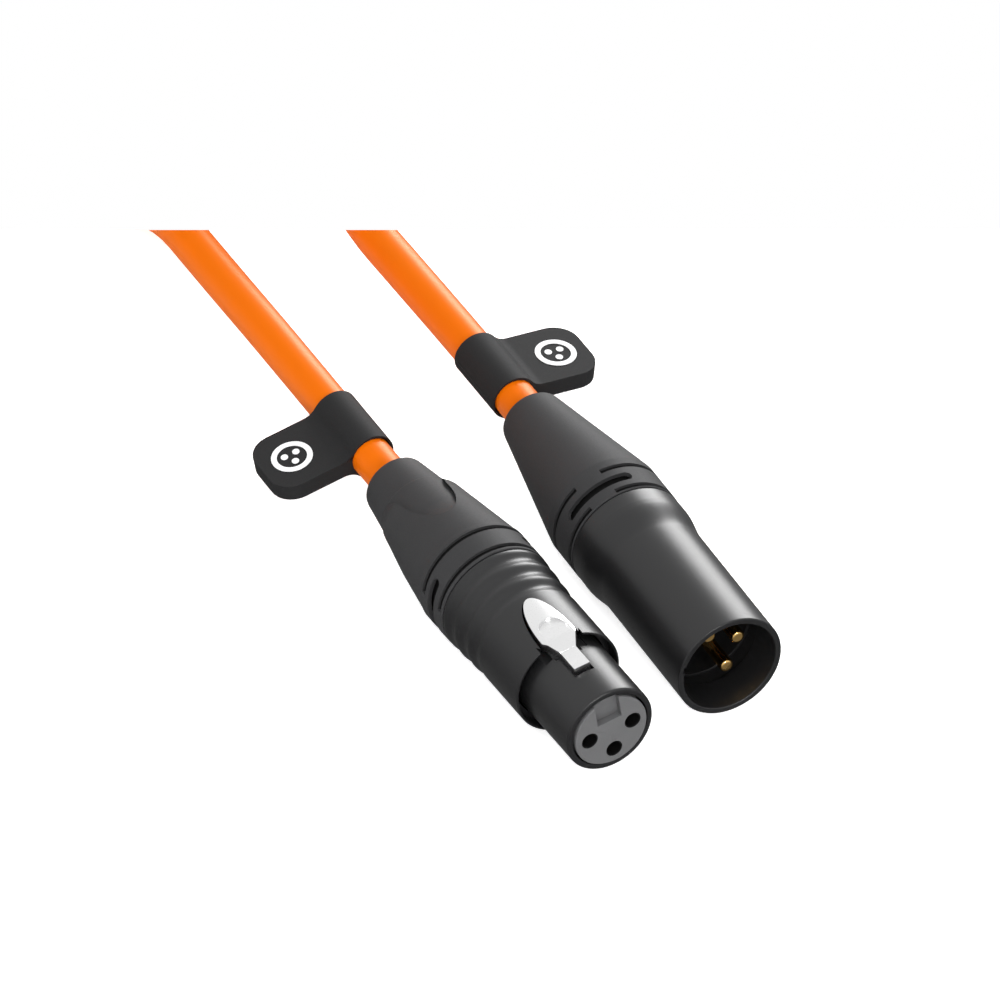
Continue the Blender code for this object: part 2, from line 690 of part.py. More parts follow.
def make_female(finishes):
    frame = connector_frame("female_frame", FEMALE_FRONT, FEMALE_YAW, FEMALE_KEY)
    bpy.context.view_layer.update()
    shell = turned(
        "female_shell", female_shell_profile(), STEPS_LARGE, frame, finishes["black_shell"], closed=True
    )
    smooth(shell)
    slot = latch_outline(SLIDE)
    slot = [*slot, (RIM_DEPTH + 1.6 * MM, -4.0 * MM), (RIM_DEPTH - MM, -4.0 * MM), (RIM_DEPTH - MM, 4.0 * MM), (RIM_DEPTH + 1.6 * MM, 4.0 * MM)]
    down = Matrix.Translation((BODY_RADIUS, 0, 0)) @ Matrix(((0, 0, 1, 0), (0, 1, 0, 0), (-1, 0, 0, 0), (0, 0, 0, 1)))
    combine(shell, plate("latch_slot", [(-z, y) for z, y in slot], 2 * 6.5 * MM, down, frame, helper=True), "DIFFERENCE")

    inner = NOSE_RADIUS - NOSE_WALL
    front = NOSE_SETBACK
    nose = turned(
        "female_nose",
        [
            (NOSE_RADIUS, NOSE_LENGTH),
            (NOSE_RADIUS, front + 0.5 * MM),
            (NOSE_RADIUS - 0.15 * MM, front + 0.15 * MM),
            (NOSE_RADIUS - 0.5 * MM, front),
            (inner, front),
            (inner, NOSE_LENGTH),
        ],
        STEPS_LARGE,
        frame,
        finishes["black_shell"],
        closed=True,
    )
    smooth(nose)
    half = HOOK_HALF_WIDTH + SLIDE
    pocket_low = (HOOK_TOOTH - LATCH_DROP - GAP, -half, HOOK_TIP - 0.6 * MM)
    pocket_high = (NOSE_RADIUS + 2 * MM, half, RIM_DEPTH)
    combine(nose, block("hook_pocket", pocket_low, pocket_high, frame), "DIFFERENCE")
    window_half = LATCH_HALF_WIDTH + 2 * SLIDE
    window_low = (inner - GAP, -window_half, RIM_DEPTH - 1.3 * MM)
    window_high = (NOSE_RADIUS + MM, window_half, NOSE_LENGTH + MM)
    combine(nose, block("latch_window", window_low, window_high, frame), "DIFFERENCE")

    angles = [math.radians(a) for a in (90, 180, 270)]
    radius = inner - GAP
    insert = turned(
        "female_insert",
        [(0, INSERT_LENGTH), (radius, INSERT_LENGTH), (radius, 0.15 * MM), (radius - 0.15 * MM, 0), (0, 0)],
        STEPS_LARGE,
        frame,
        finishes["insert"],
    )
    smooth(insert)
    keyway_low = (KEYWAY_FLOOR, -KEYWAY_WIDTH / 2, -MM)
    keyway_high = (radius + MM, KEYWAY_WIDTH / 2, KEYWAY_DEPTH)
    combine(insert, block("keyway", keyway_low, keyway_high, frame), "DIFFERENCE")
    combine(insert, block("insert_pocket", pocket_low, pocket_high, frame), "DIFFERENCE")
    for k, angle in enumerate(angles):
        centre = polar(PIN_CIRCLE, angle)
        bore = turned(
            f"contact_bore_{k}",
            [
                (0, INSERT_LENGTH + MM),
                (CONTACT_RADIUS + GAP, INSERT_LENGTH + MM),
                (CONTACT_RADIUS + GAP, CONTACT_SETBACK - GAP),
                (HOLE_RADIUS, CONTACT_SETBACK - GAP),
                (HOLE_RADIUS, -MM),
                (0, -MM),
            ],
            STEPS_SMALL,
            frame,
            helper=True,
        )
        bore.location = (*centre, 0)
        combine(insert, bore, "DIFFERENCE")
        contact = turned(
            f"female_contact_{k + 1}",
            [
                (0, CONTACT_LENGTH - CUP_DEPTH),
                (CUP_BORE, CONTACT_LENGTH - CUP_DEPTH),
                (CUP_BORE, CONTACT_LENGTH),
                (CONTACT_RADIUS - 0.3 * MM, CONTACT_LENGTH),
                (CONTACT_RADIUS, CONTACT_LENGTH - 4 * MM),
                (CONTACT_RADIUS, CONTACT_SETBACK),
                (CONTACT_BORE, CONTACT_SETBACK),
                (CONTACT_BORE, CONTACT_LENGTH * 0.55),
                (0, CONTACT_LENGTH * 0.55),
            ],
            STEPS_SMALL,
            frame,
            finishes["gold"],
        )
        contact.location = (*centre, 0)
        smooth(contact)
    make_latch(frame, finishes)
    make_leaf_spring(frame, finishes)
    clip_inner = NOSE_RADIUS - CLIP_WALL
    make_ground_clip("female", frame, clip_inner - GAP, NOSE_LENGTH + GAP, NOSE_LENGTH + 3.3 * MM, finishes)
    make_wiring("female", frame, angles, CONTACT_LENGTH, finishes)
    make_gland(
        "female", frame, FEMALE_SHELL_REAR, FEMALE_GROOVES, female_cone(), FEMALE_BOOT_REAR, finishes
    )
    add_petals(frame)
    return frame


def petal_radius(z):
    return FEMALE_CONE_RADIUS - FEMALE_CONE_SLOPE * (z - FEMALE_CONE_START)


def female_cone():
    """The boot's outer side under its petals, from the rear edge to the straight ring zone."""
    full = petal_radius(GRIP_FULL) - GRIP_DEPTH
    rear = full - GRIP_SLOPE * (FEMALE_BOOT_REAR - BOOT_EDGE - GRIP_FULL)
    return [
        (rear - BOOT_EDGE, FEMALE_BOOT_REAR),
        (rear - 0.3 * BOOT_EDGE, FEMALE_BOOT_REAR - 0.3 * BOOT_EDGE),
        (rear, FEMALE_BOOT_REAR - BOOT_EDGE),
        (full, GRIP_FULL),
        (petal_radius(GRIP_START) - 0.05 * MM, GRIP_START),
        (FEMALE_CONE_RADIUS - 0.05 * MM, FEMALE_CONE_START),
        (BODY_RADIUS, FEMALE_CONE_START - 0.8 * MM),
    ]


def add_petals(frame):
    """Three raised petals on the female boot, left standing between U-shaped scoops."""
    boot = bpy.data.objects["female_boot"]
    start, end = GRIP_START - 2.6 * MM, GRIP_REAR
    root = GRIP_DEPTH + 0.6 * MM
    petals = turned(
        "boot_petals",
        [
            (petal_radius(end) - root - MM, end + MM),
            (petal_radius(end) - 0.8 * MM, end + 0.8 * MM),
            (petal_radius(end), end - 0.6 * MM),
            (petal_radius(start), start),
            (petal_radius(start) - root, start),
        ],
        STEPS_LARGE,
        frame,
        closed=True,
        helper=True,
    )
    for k in range(3):
        outline = []
        for step in range(9):
            angle = math.radians(90 + 22.5 * step)
            length = GRIP_FULL + MM - GRIP_START + 1.2 * MM
            outline.append((GRIP_FULL + MM + length * math.cos(angle), GRIP_HALF_WIDTH * math.sin(angle)))
        flare = GRIP_HALF_WIDTH + 1.2 * MM
        outline += [(GRIP_REAR + 3 * MM, -flare), (GRIP_REAR + 3 * MM, flare)]
        turn = Matrix.Rotation(math.radians(120 * k), 4, "Z")
        down = turn @ Matrix.Translation((BODY_RADIUS, 0, 0)) @ Matrix(
            ((0, 0, 1, 0), (0, 1, 0, 0), (-1, 0, 0, 0), (0, 0, 0, 1))
        )
        scoop = plate(f"scoop_{k}", [(-z, y) for z, y in outline], 2 * 6.5 * MM, down, frame, helper=True)
        combine(petals, scoop, "DIFFERENCE")
    combine(boot, petals, "UNION")
    smooth(boot)


# Male connector


def male_shell_profile():
    rear = MALE_SHELL_REAR
    points = neck_profile(rear)
    points += [(BODY_RADIUS - 0.1 * MM, rear), (BODY_RADIUS, rear - 0.3 * MM), (BODY_RADIUS, FLARE_END)]
    for k in range(1, 5):
        share = k / 4
        ease = share * share * (3 - 2 * share)
        radius = BODY_RADIUS + (MALE_RADIUS - BODY_RADIUS) * ease
        points.append((radius, FLARE_END + (FLARE_START - FLARE_END) * share))
    edge = 0.25 * MM
    bore = MALE_RADIUS - MALE_WALL
    points += [(MALE_RADIUS, edge), (MALE_RADIUS - edge, 0), (bore + edge, 0), (bore, edge)]
    points += [(bore, CATCH_START), (bore + CATCH_DEPTH, CATCH_START)]
    points += [(bore + CATCH_DEPTH, CATCH_START + CATCH_LENGTH), (bore, CATCH_START + CATCH_LENGTH)]
    points += [(bore, rear - 2 * MM), (NECK_RADIUS - NECK_WALL, rear), (NECK_RADIUS - NECK_WALL, rear + NECK_LENGTH)]
    return points


def make_male(finishes):
    frame = connector_frame("male_frame", MALE_FRONT, MALE_YAW, MALE_KEY)
    bpy.context.view_layer.update()
    shell = turned("male_shell", male_shell_profile(), STEPS_LARGE, frame, finishes["black_shell"], closed=True)
    smooth(shell)

    radius = MALE_RADIUS - MALE_WALL - GAP
    rear = MALE_INSERT_FACE + MALE_INSERT_LENGTH
    insert = turned(
        "male_insert",
        [(0, rear), (6.9 * MM, rear), (6.9 * MM, rear - 4 * MM), (radius, rear - 4 * MM), (radius, MALE_INSERT_FACE), (0, MALE_INSERT_FACE)],
        STEPS_LARGE,
        frame,
        finishes["insert"],
    )
    smooth(insert)
    angles = [math.radians(a) for a in (90, 180, 270)]
    pin_end = PIN_TIP + PIN_LENGTH
    for k, angle in enumerate(angles):
        centre = polar(PIN_CIRCLE, angle)
        bore = rod(f"pin_bore_{k}", PIN_RADIUS + GAP, MALE_INSERT_FACE - MM, rear + MM, centre, frame)
        combine(insert, bore, "DIFFERENCE")
        pin = turned(
            f"male_pin_{k + 1}",
            [
                (0, pin_end - CUP_DEPTH),
                (CUP_BORE, pin_end - CUP_DEPTH),
                (CUP_BORE, pin_end),
                (PIN_RADIUS + 0.25 * MM, pin_end),
                (PIN_RADIUS + 0.25 * MM, rear + 2 * GAP),
                (PIN_RADIUS, rear + GAP),
                (PIN_RADIUS, PIN_TIP + 1.0 * MM),
                (PIN_RADIUS * 0.8, PIN_TIP + 0.35 * MM),
                (PIN_RADIUS * 0.4, PIN_TIP + 0.05 * MM),
                (0, PIN_TIP),
            ],
            STEPS_SMALL,
            frame,
            finishes["gold"],
        )
        pin.location = (*centre, 0)
        smooth(pin, 50)
    make_ground_clip("male", frame, 6.9 * MM + GAP, rear - 3.6 * MM, rear - 0.4 * MM, finishes)
    make_wiring("male", frame, angles, pin_end, finishes)
    cone_end = BODY_RADIUS - MALE_CONE_SLOPE * (MALE_BOOT_REAR - BOOT_EDGE - MALE_CONE_START)
    cone = [
        (cone_end - BOOT_EDGE, MALE_BOOT_REAR),
        (cone_end - 0.3 * BOOT_EDGE, MALE_BOOT_REAR - 0.3 * BOOT_EDGE),
        (cone_end, MALE_BOOT_REAR - BOOT_EDGE),
        (BODY_RADIUS, MALE_CONE_START),
    ]
    boot = make_gland("male", frame, MALE_SHELL_REAR, MALE_GROOVES, cone, MALE_BOOT_REAR, finishes)
    smooth(boot)
    return frame


# Cord, coil, tags and tie


def make_lead(name, frame, route, coil_guard, finishes):
    """The cord from inside its boot to where it joins the coil."""
    inside = [frame.matrix_world @ Vector((0, 0, CORD_START + k * 9 * MM)) for k in range(3)]
    points = spline_through(inside + [Vector(p) * MM for p in route], 10 * MM)
    lead = tube(name, points, CORD_RADIUS, None, None, CORD_SIDES)
    bpy.context.view_layer.update()
    lead = meshed(lead, name + "_solid", False, finishes["orange_jacket"])
    lead.name = name
    combine(lead, coil_guard, "DIFFERENCE")
    smooth(lead)


def ring_profile(inner, outer, low, high, corner):
    return [
        (inner + corner, high),
        (outer - corner, high),
        (outer, high - corner),
        (outer, low + corner),
        (outer - corner, low),
        (inner + corner, low),
        (inner, low + corner),
        (inner, high - corner),
    ]


def make_coil(finishes):
    frame = empty("coil_frame", Matrix.Translation((*COIL_CENTRE, 0)))
    bpy.context.view_layer.update()
    corner = 2.2 * MM
    coil = turned(
        "coil",
        ring_profile(COIL_INNER, COIL_OUTER, 0, COIL_HEIGHT, corner),
        STEPS_LARGE,
        frame,
        finishes["orange_jacket"],
        closed=True,
    )
    smooth(coil)
    guard = turned(
        "coil_guard",
        ring_profile(COIL_INNER - GAP, COIL_OUTER + GAP, -2 * MM, COIL_HEIGHT + GAP, corner),
        STEPS_LARGE,
        frame,
        closed=True,
        helper=True,
    )
    half = TIE_WIDTH / 2
    under = TIE_LIFT + TIE_WALL + GAP
    low = (-half - GAP, COIL_INNER - 5 * MM, -MM)
    high = (half + GAP, COIL_OUTER + 5 * MM, under)
    combine(coil, block("tie_notch", low, high, frame), "DIFFERENCE")
    inner_low = math.sqrt(COIL_INNER**2 - half**2) - GAP
    tie = block(
        "coil_tie",
        (-half, inner_low - TIE_WALL, TIE_LIFT),
        (half, COIL_OUTER + GAP + TIE_WALL, COIL_HEIGHT + GAP + TIE_WALL),
        frame,
        helper=False,
        material=finishes["hook_and_loop"],
    )
    hole = block(
        "tie_hole",
        (-half - MM, inner_low, TIE_LIFT + TIE_WALL),
        (half + MM, COIL_OUTER + GAP, COIL_HEIGHT + GAP),
        frame,
    )
    combine(tie, hole, "DIFFERENCE")
    return guard


def clear_scene():
    for obj in list(bpy.data.objects):
        bpy.data.objects.remove(obj)


def main():
    clear_scene()
    for collection in (parts, helpers):
        bpy.context.scene.collection.children.link(collection)
    finishes = make_finishes()
    female = make_female(finishes)
    male = make_male(finishes)
    guard = make_coil(finishes)
    make_lead("female_lead", female, FEMALE_ROUTE, guard, finishes)
    make_lead("male_lead", male, MALE_ROUTE, guard, finishes)
    female_front = female.matrix_world.translation
    male_front = male.matrix_world.translation
    make_tag("female", -13.95 * MM, female_front.y + FEMALE_TAG_START, FEMALE_FLAG, finishes)
    make_tag("male", 13.88 * MM, male_front.y + MALE_TAG_START, MALE_FLAG, finishes)


main()
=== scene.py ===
import json
import math

import bpy
from bpy.props import FloatProperty, FloatVectorProperty, IntProperty, PointerProperty
from bpy.types import Operator, Panel, PropertyGroup
from mathutils import Matrix, Vector


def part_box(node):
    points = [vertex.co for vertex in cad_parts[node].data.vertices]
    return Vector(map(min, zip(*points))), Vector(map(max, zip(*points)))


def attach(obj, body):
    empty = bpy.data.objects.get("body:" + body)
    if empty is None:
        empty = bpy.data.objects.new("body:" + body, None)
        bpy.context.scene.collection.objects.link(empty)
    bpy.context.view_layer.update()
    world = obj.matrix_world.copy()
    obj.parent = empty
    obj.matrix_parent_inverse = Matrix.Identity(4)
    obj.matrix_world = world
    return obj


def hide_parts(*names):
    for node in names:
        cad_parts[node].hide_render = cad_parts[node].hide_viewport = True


bl_info = {
    "name": "Microphone Cable",
    "version": (1, 0, 0),
    "blender": (4, 5, 0),
    "location": "View3D > Sidebar > Cable",
    "description": "Models a microphone cable with a latching and a pin connector",
    "category": "Add Mesh",
}

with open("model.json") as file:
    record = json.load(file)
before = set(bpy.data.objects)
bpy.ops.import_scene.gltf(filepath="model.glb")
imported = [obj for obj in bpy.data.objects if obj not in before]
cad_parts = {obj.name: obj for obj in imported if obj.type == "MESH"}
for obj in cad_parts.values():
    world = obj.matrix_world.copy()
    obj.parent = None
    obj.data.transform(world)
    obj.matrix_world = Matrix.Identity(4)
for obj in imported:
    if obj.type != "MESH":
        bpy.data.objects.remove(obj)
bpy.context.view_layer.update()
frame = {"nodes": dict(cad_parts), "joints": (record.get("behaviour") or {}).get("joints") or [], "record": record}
NODES = frame["nodes"]
RECORD = frame["record"]
MM = 0.001

# Where each connector's key points, from +X towards +Z
FEMALE_KEY = math.radians(98)
MALE_KEY = math.radians(204)
KEY_TO_PINS = (90, 180, 270)

# Lengths in mm. Each connector's own z runs back from its front, and its x points to the key.
BODY_RADIUS = 10.26
FEMALE_REAR = 37.9
MALE_REAR = 36.6
MALE_INSERT_DEPTH = 15.8
FEMALE_BOOT_END = 72.5
MALE_BOOT_END = 71.7
NECK_LENGTH = 7.0
NECK_INSIDE = 6.6
CORD_INSIDE_BOOT = (46.5, 55.5, 64.5)
PAD_FRONT = 15.0
PAD_HALF_WIDTH = 3.15
PAD_LENGTH = 10.3
HOOK_ROOM = ((5.7, -1.85, 6.9), (10.5, 1.85, 14.3))

# The coil: its lowest middle line, and how it is wound
FIRST_LAYER = 3.55
POINTS_PER_TURN = 25
POINTS_PER_STEP = 8
STEP_BULGE = 2.4
STRAP_LIFT = 1.2
STRAP_LIFT_REACH = 18

# What the lights turn to, in metres
LIT_POINT = (0.0, 0.02, 0.01)

# The camera: a long lens, turned and raised about a point beside the female connector
CAMERA_AZIMUTH = -28.1
CAMERA_ELEVATION = 39.7
CAMERA_DISTANCE = 4.575
CAMERA_TARGET = (11.72, 60.5, 0.0)
CAMERA_LENS = 1000
SENSOR = 36
# The level above which the card hides the view, as a share of the picture from its middle
CARD_LEVEL = 0.27

# Each lead's middle line from its boot to the coil, in metres
FEMALE_ROUTE = [
    (-0.01403, 0.040, 0.01026), (-0.0140, 0.052, 0.01025), (-0.01397, 0.066, 0.0102),
    (-0.01395, 0.080, 0.0101), (-0.01395, 0.094, 0.00985), (-0.01395, 0.104, 0.00975),
    (-0.01395, 0.112, 0.0094), (-0.0147, 0.1191, 0.0081), (-0.0170, 0.1249, 0.0064),
    (-0.0205, 0.130, 0.0049), (-0.0250, 0.1341, 0.0039),
]
MALE_ROUTE = [
    (0.01395, 0.044, 0.01026), (0.01393, 0.056, 0.0102), (0.0139, 0.070, 0.01005),
    (0.01388, 0.084, 0.00975), (0.01388, 0.094, 0.0096), (0.0139, 0.101, 0.0107),
    (0.01395, 0.107, 0.0129), (0.0140, 0.113, 0.0158), (0.0148, 0.1191, 0.0192),
    (0.0170, 0.1249, 0.0224), (0.0205, 0.130, 0.0244), (0.0250, 0.1341, 0.02485),
]


# Sizes and colours that a user may change


def millimetres(name, description, value):
    return FloatProperty(
        name=name, description=description, default=value * MM, min=0.0, precision=5, unit="LENGTH"
    )


def colour(name, description, value):
    return FloatVectorProperty(
        name=name, description=description, default=value, size=3, min=0.0, max=1.0, subtype="COLOR"
    )


class CableSizes(PropertyGroup):
    cord_diameter: millimetres("Cord", "Diameter of the cord", 7.0)
    cord_length: FloatProperty(
        name="Cord length", description="Whole length of the cord", default=2.94, unit="LENGTH"
    )
    turn_pitch: millimetres("Turn pitch", "Distance between neighbouring turns", 7.15)
    layer_pitch: millimetres("Layer pitch", "Height from one layer to the next", 7.03)
    inner_turn: millimetres("Inner turn", "Radius of the coil's smallest turn", 29.0)
    columns: IntProperty(name="Turns a layer", description="Turns side by side", default=3, min=2)
    layers: IntProperty(
        name="Layers", description="Layers of turns, an even number", default=4, min=2
    )
    tie_width: millimetres("Tie width", "Width of the coil's strap", 16.0)
    tie_wall: millimetres("Tie thickness", "Thickness of the strap", 1.1)


class ConnectorSizes(PropertyGroup):
    body_radius: millimetres("Body", "Widest radius of both connectors", BODY_RADIUS)
    nose_radius: millimetres("Nose", "Radius of the female nose", 8.0)
    nose_wall: millimetres("Nose wall", "Wall of the female nose", 1.05)
    front_radius: millimetres("Female body", "Radius of the female shell's front", 9.63)
    rim: millimetres("Rim", "Front rim of the female shell behind its face", 14.3)
    ridge_pitch: millimetres("Ridge pitch", "Distance between grip ridges", 3.7)
    ridge_depth: millimetres("Ridge depth", "Depth of the valleys between ridges", 0.42)
    male_radius: millimetres("Male body", "Radius of the male shell", 9.5)
    male_wall: millimetres("Male wall", "Wall of the male shell", 1.1)
    pin_radius: millimetres("Pin", "Radius of a male pin", 1.2)
    pin_circle: millimetres("Pin circle", "Radius of the circle that the pins stand on", 4.05)


class TagSizes(PropertyGroup):
    wall: millimetres("Wall", "Wall of the ring round the cord", 0.55)
    reach: millimetres("Reach", "From the cord's middle to the flag's edge", 16.9)
    thickness: millimetres("Thickness", "Thickness of the flag", 3.0)
    corner: millimetres("Corner", "Radius of the flag's corners", 4.2)
    fillet: millimetres("Fillet", "Radius where the flag meets the ring", 3.2)
    badge: millimetres("Badge", "Radius of the printed ring on the flag", 3.5)


class CableColours(PropertyGroup):
    shell: colour("Shell", "Satin black of the shells", (0.008, 0.008, 0.0085))
    insert: colour("Insert", "Moulded inserts", (0.088, 0.088, 0.09))
    boot: colour("Boot", "Rubber boots", (0.026, 0.026, 0.027))
    tag: colour("Tag", "Rubber tags", (0.011, 0.011, 0.0115))
    jacket: colour("Jacket", "Jacket of the cord", (0.70, 0.128, 0.001))
    nickel: colour("Nickel", "Plating of the latch", (0.84, 0.84, 0.84))
    gold: colour("Gold", "Plating of pins and contacts", (1.0, 0.62, 0.22))


# Modelling helpers


def start_fresh():
    if bpy.context.mode != "OBJECT":
        bpy.ops.object.mode_set(mode="OBJECT")
    bpy.ops.object.select_all(action="DESELECT")


def choose(piece):
    start_fresh()
    piece.select_set(True)
    bpy.context.view_layer.objects.active = piece


def newest(name):
    piece = bpy.context.object
    piece.name = name
    piece.data.name = name
    return piece


def settle(piece, place=None):
    """Writes the piece's place into its mesh, so that its object sits at the origin."""
    choose(piece)
    if place is not None:
        piece.matrix_world = place @ piece.matrix_world
    bpy.ops.object.transform_apply(location=True, rotation=True, scale=True)
    return piece


def tidy(piece, sharp=32):
    """Outward faces and smooth shading up to an angle."""
    choose(piece)
    bpy.ops.object.mode_set(mode="EDIT")
    bpy.ops.mesh.select_all(action="SELECT")
    bpy.ops.mesh.remove_doubles(threshold=2e-6)
    bpy.ops.mesh.normals_make_consistent(inside=False)
    bpy.ops.object.mode_set(mode="OBJECT")
    bpy.ops.object.shade_smooth_by_angle(angle=math.radians(sharp))
    return piece


def eased(profile, closed, steps=4):
    """The profile's points in metres: a corner of (radius, z, rounding) in mm becomes an arc."""
    made = []
    count = len(profile)
    for k, point in enumerate(profile):
        corner = Vector(point[:2])
        rounding = point[2] if len(point) > 2 else 0
        if not rounding or (not closed and k in (0, count - 1)):
            made.append(corner * MM)
            continue
        back = Vector(profile[k - 1][:2]) - corner
        on = Vector(profile[(k + 1) % count][:2]) - corner
        half = back.angle(on) / 2
        reach = min(rounding / math.tan(half), 0.48 * back.length, 0.48 * on.length)
        first = corner + back.normalized() * reach
        last = corner + on.normalized() * reach
        for step in range(steps + 1):
            t = step / steps
            made.append(((1 - t) ** 2 * first + 2 * t * (1 - t) * corner + t * t * last) * MM)
    return made


def lathe(name, profile, segments=96, closed=True):
    """A turned piece: a circle that is extruded and scaled from ring to ring of the profile."""
    rings = eased(profile, closed)
    start_fresh()
    radius, z = rings[0]
    bpy.ops.mesh.primitive_circle_add(vertices=segments, radius=radius, location=(0, 0, z))
    piece = newest(name)
    bpy.ops.object.transform_apply(location=True)
    bpy.ops.object.mode_set(mode="EDIT")
    bpy.ops.mesh.select_all(action="SELECT")
    if closed:
        rings.append(rings[0])
    for (r0, z0), (r1, z1) in zip(rings, rings[1:]):
        bpy.ops.mesh.extrude_region_move(TRANSFORM_OT_translate={"value": (0, 0, z1 - z0)})
        if abs(r1 - r0) > 1e-9:
            bpy.ops.transform.resize(value=(r1 / r0, r1 / r0, 1), center_override=(0, 0, z1))
    if not closed:
        bpy.ops.mesh.edge_face_add()
        bpy.ops.mesh.select_all(action="DESELECT")
        bpy.ops.mesh.select_mode(type="EDGE")
        bpy.ops.mesh.select_non_manifold()
        bpy.ops.mesh.edge_face_add()
        bpy.ops.mesh.select_mode(type="VERT")
    bpy.ops.object.mode_set(mode="OBJECT")
    return tidy(piece)


def box(name, low, high):
    """A box between two corners in mm."""
    start_fresh()
    low, high = Vector(low) * MM, Vector(high) * MM
    bpy.ops.mesh.primitive_cube_add(size=1, location=(low + high) / 2, scale=high - low)
    return settle(newest(name))


def cylinder(name, radius, depth, place, vertices=40):
    """A cylinder of mm sizes about its own Z, put where place says."""
    start_fresh()
    bpy.ops.mesh.primitive_cylinder_add(vertices=vertices, radius=radius * MM, depth=depth * MM)
    return settle(newest(name), place)


def slab(name, outline, thickness, place=None):
    """A flat outline of mm points in the XY plane, extruded evenly to both sides of it."""
    start_fresh()
    curve = bpy.data.curves.new(name, "CURVE")
    curve.dimensions = "2D"
    curve.fill_mode = "BOTH"
    curve.extrude = thickness * MM / 2
    spline = curve.splines.new("POLY")
    spline.points.add(len(outline) - 1)
    for point, (x, y) in zip(spline.points, outline):
        point.co = (x * MM, y * MM, 0, 1)
    spline.use_cyclic_u = True
    piece = bpy.data.objects.new(name, curve)
    bpy.context.scene.collection.objects.link(piece)
    choose(piece)
    bpy.ops.object.convert(target="MESH")
    return settle(tidy(newest(name)), place)


def sector(name, r0, r1, z0, z1, middle, span):
    """Part of a square-sectioned ring round Z. Sizes in mm, angles in degrees."""
    steps = max(6, round(span / 4))
    turns = [math.radians(middle + span * (k / steps - 0.5)) for k in range(steps + 1)]
    outline = [(r1 * math.cos(a), r1 * math.sin(a)) for a in turns]
    outline += [(r0 * math.cos(a), r0 * math.sin(a)) for a in reversed(turns)]
    return slab(name, outline, z1 - z0, Matrix.Translation((0, 0, (z0 + z1) / 2 * MM)))


def combine(piece, other, operation="DIFFERENCE"):
    choose(piece)
    change = piece.modifiers.new("Boolean", "BOOLEAN")
    change.operation = operation
    change.object = other
    bpy.ops.object.modifier_apply(modifier=change.name)
    bpy.data.objects.remove(other)
    return piece


def round_edges(piece, width, angle=35, segments=2):
    """Rounds every edge sharper than the angle and evens the shading."""
    choose(piece)
    bevel = piece.modifiers.new("Bevel", "BEVEL")
    bevel.width = width * MM
    bevel.segments = segments
    bevel.limit_method = "ANGLE"
    bevel.angle_limit = math.radians(angle)
    bevel.miter_outer = "MITER_ARC"
    bevel.use_clamp_overlap = True
    bpy.ops.object.modifier_apply(modifier=bevel.name)
    bpy.ops.object.shade_smooth_by_angle(angle=math.radians(40))
    even_shading(piece)
    return piece


def even_shading(piece):
    choose(piece)
    even = piece.modifiers.new("Even shading", "WEIGHTED_NORMAL")
    even.keep_sharp = True
    even.weight = 80
    bpy.ops.object.modifier_apply(modifier=even.name)


def hand_over(piece, body, slot, *nodes, finish=None):
    """Puts the finished piece on its body, in the CAD nodes' place."""
    piece.data.materials.clear()
    piece.data.materials.append(FINISHES[finish or slot])
    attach(piece, body)
    if nodes:
        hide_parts(*nodes)
    return piece


def connector_place(mount, key, depth=0.0):
    """The matrix of a connector: Z runs back from its front, and X points to its key."""
    axis = -Vector(mount["axis"]).normalized()
    side = axis.cross(Vector((0, 0, 1)))
    up = side * math.cos(key) + Vector((0, 0, 1)) * math.sin(key)
    place = Matrix((up, axis.cross(up), axis)).transposed().to_4x4()
    place.translation = Vector(mount["pos_m"]) - axis * depth
    return place


MOUNTS = {mount["name"]: mount for mount in RECORD["mounts"]}
FEMALE = connector_place(MOUNTS["female_face"], FEMALE_KEY)
MALE = connector_place(MOUNTS["male_insert_face"], MALE_KEY, MALE_INSERT_DEPTH * MM)
# An outline drawn as (-z, y) and laid over the key side
OVER_KEY = Matrix(((0, 0, 1, 0), (0, 1, 0, 0), (-1, 0, 0, 0), (0, 0, 0, 1)))
# An outline drawn as (z, x) and set upright along the key
ALONG_KEY = Matrix(((0, 1, 0, 0), (0, 0, -1, 0), (1, 0, 0, 0), (0, 0, 0, 1)))


def over_key(x):
    """The place of an outline that lies over the key side, x mm from the axis."""
    return Matrix.Translation((x * MM, 0, 0)) @ OVER_KEY


def on_circle(angle, circle):
    """A place on a circle round Z: the angle in degrees, the radius in metres."""
    turn = math.radians(angle)
    return Matrix.Translation((circle * math.cos(turn), circle * math.sin(turn), 0))


def smooth_step(share):
    return share * share * (3 - 2 * share)


# Finishes


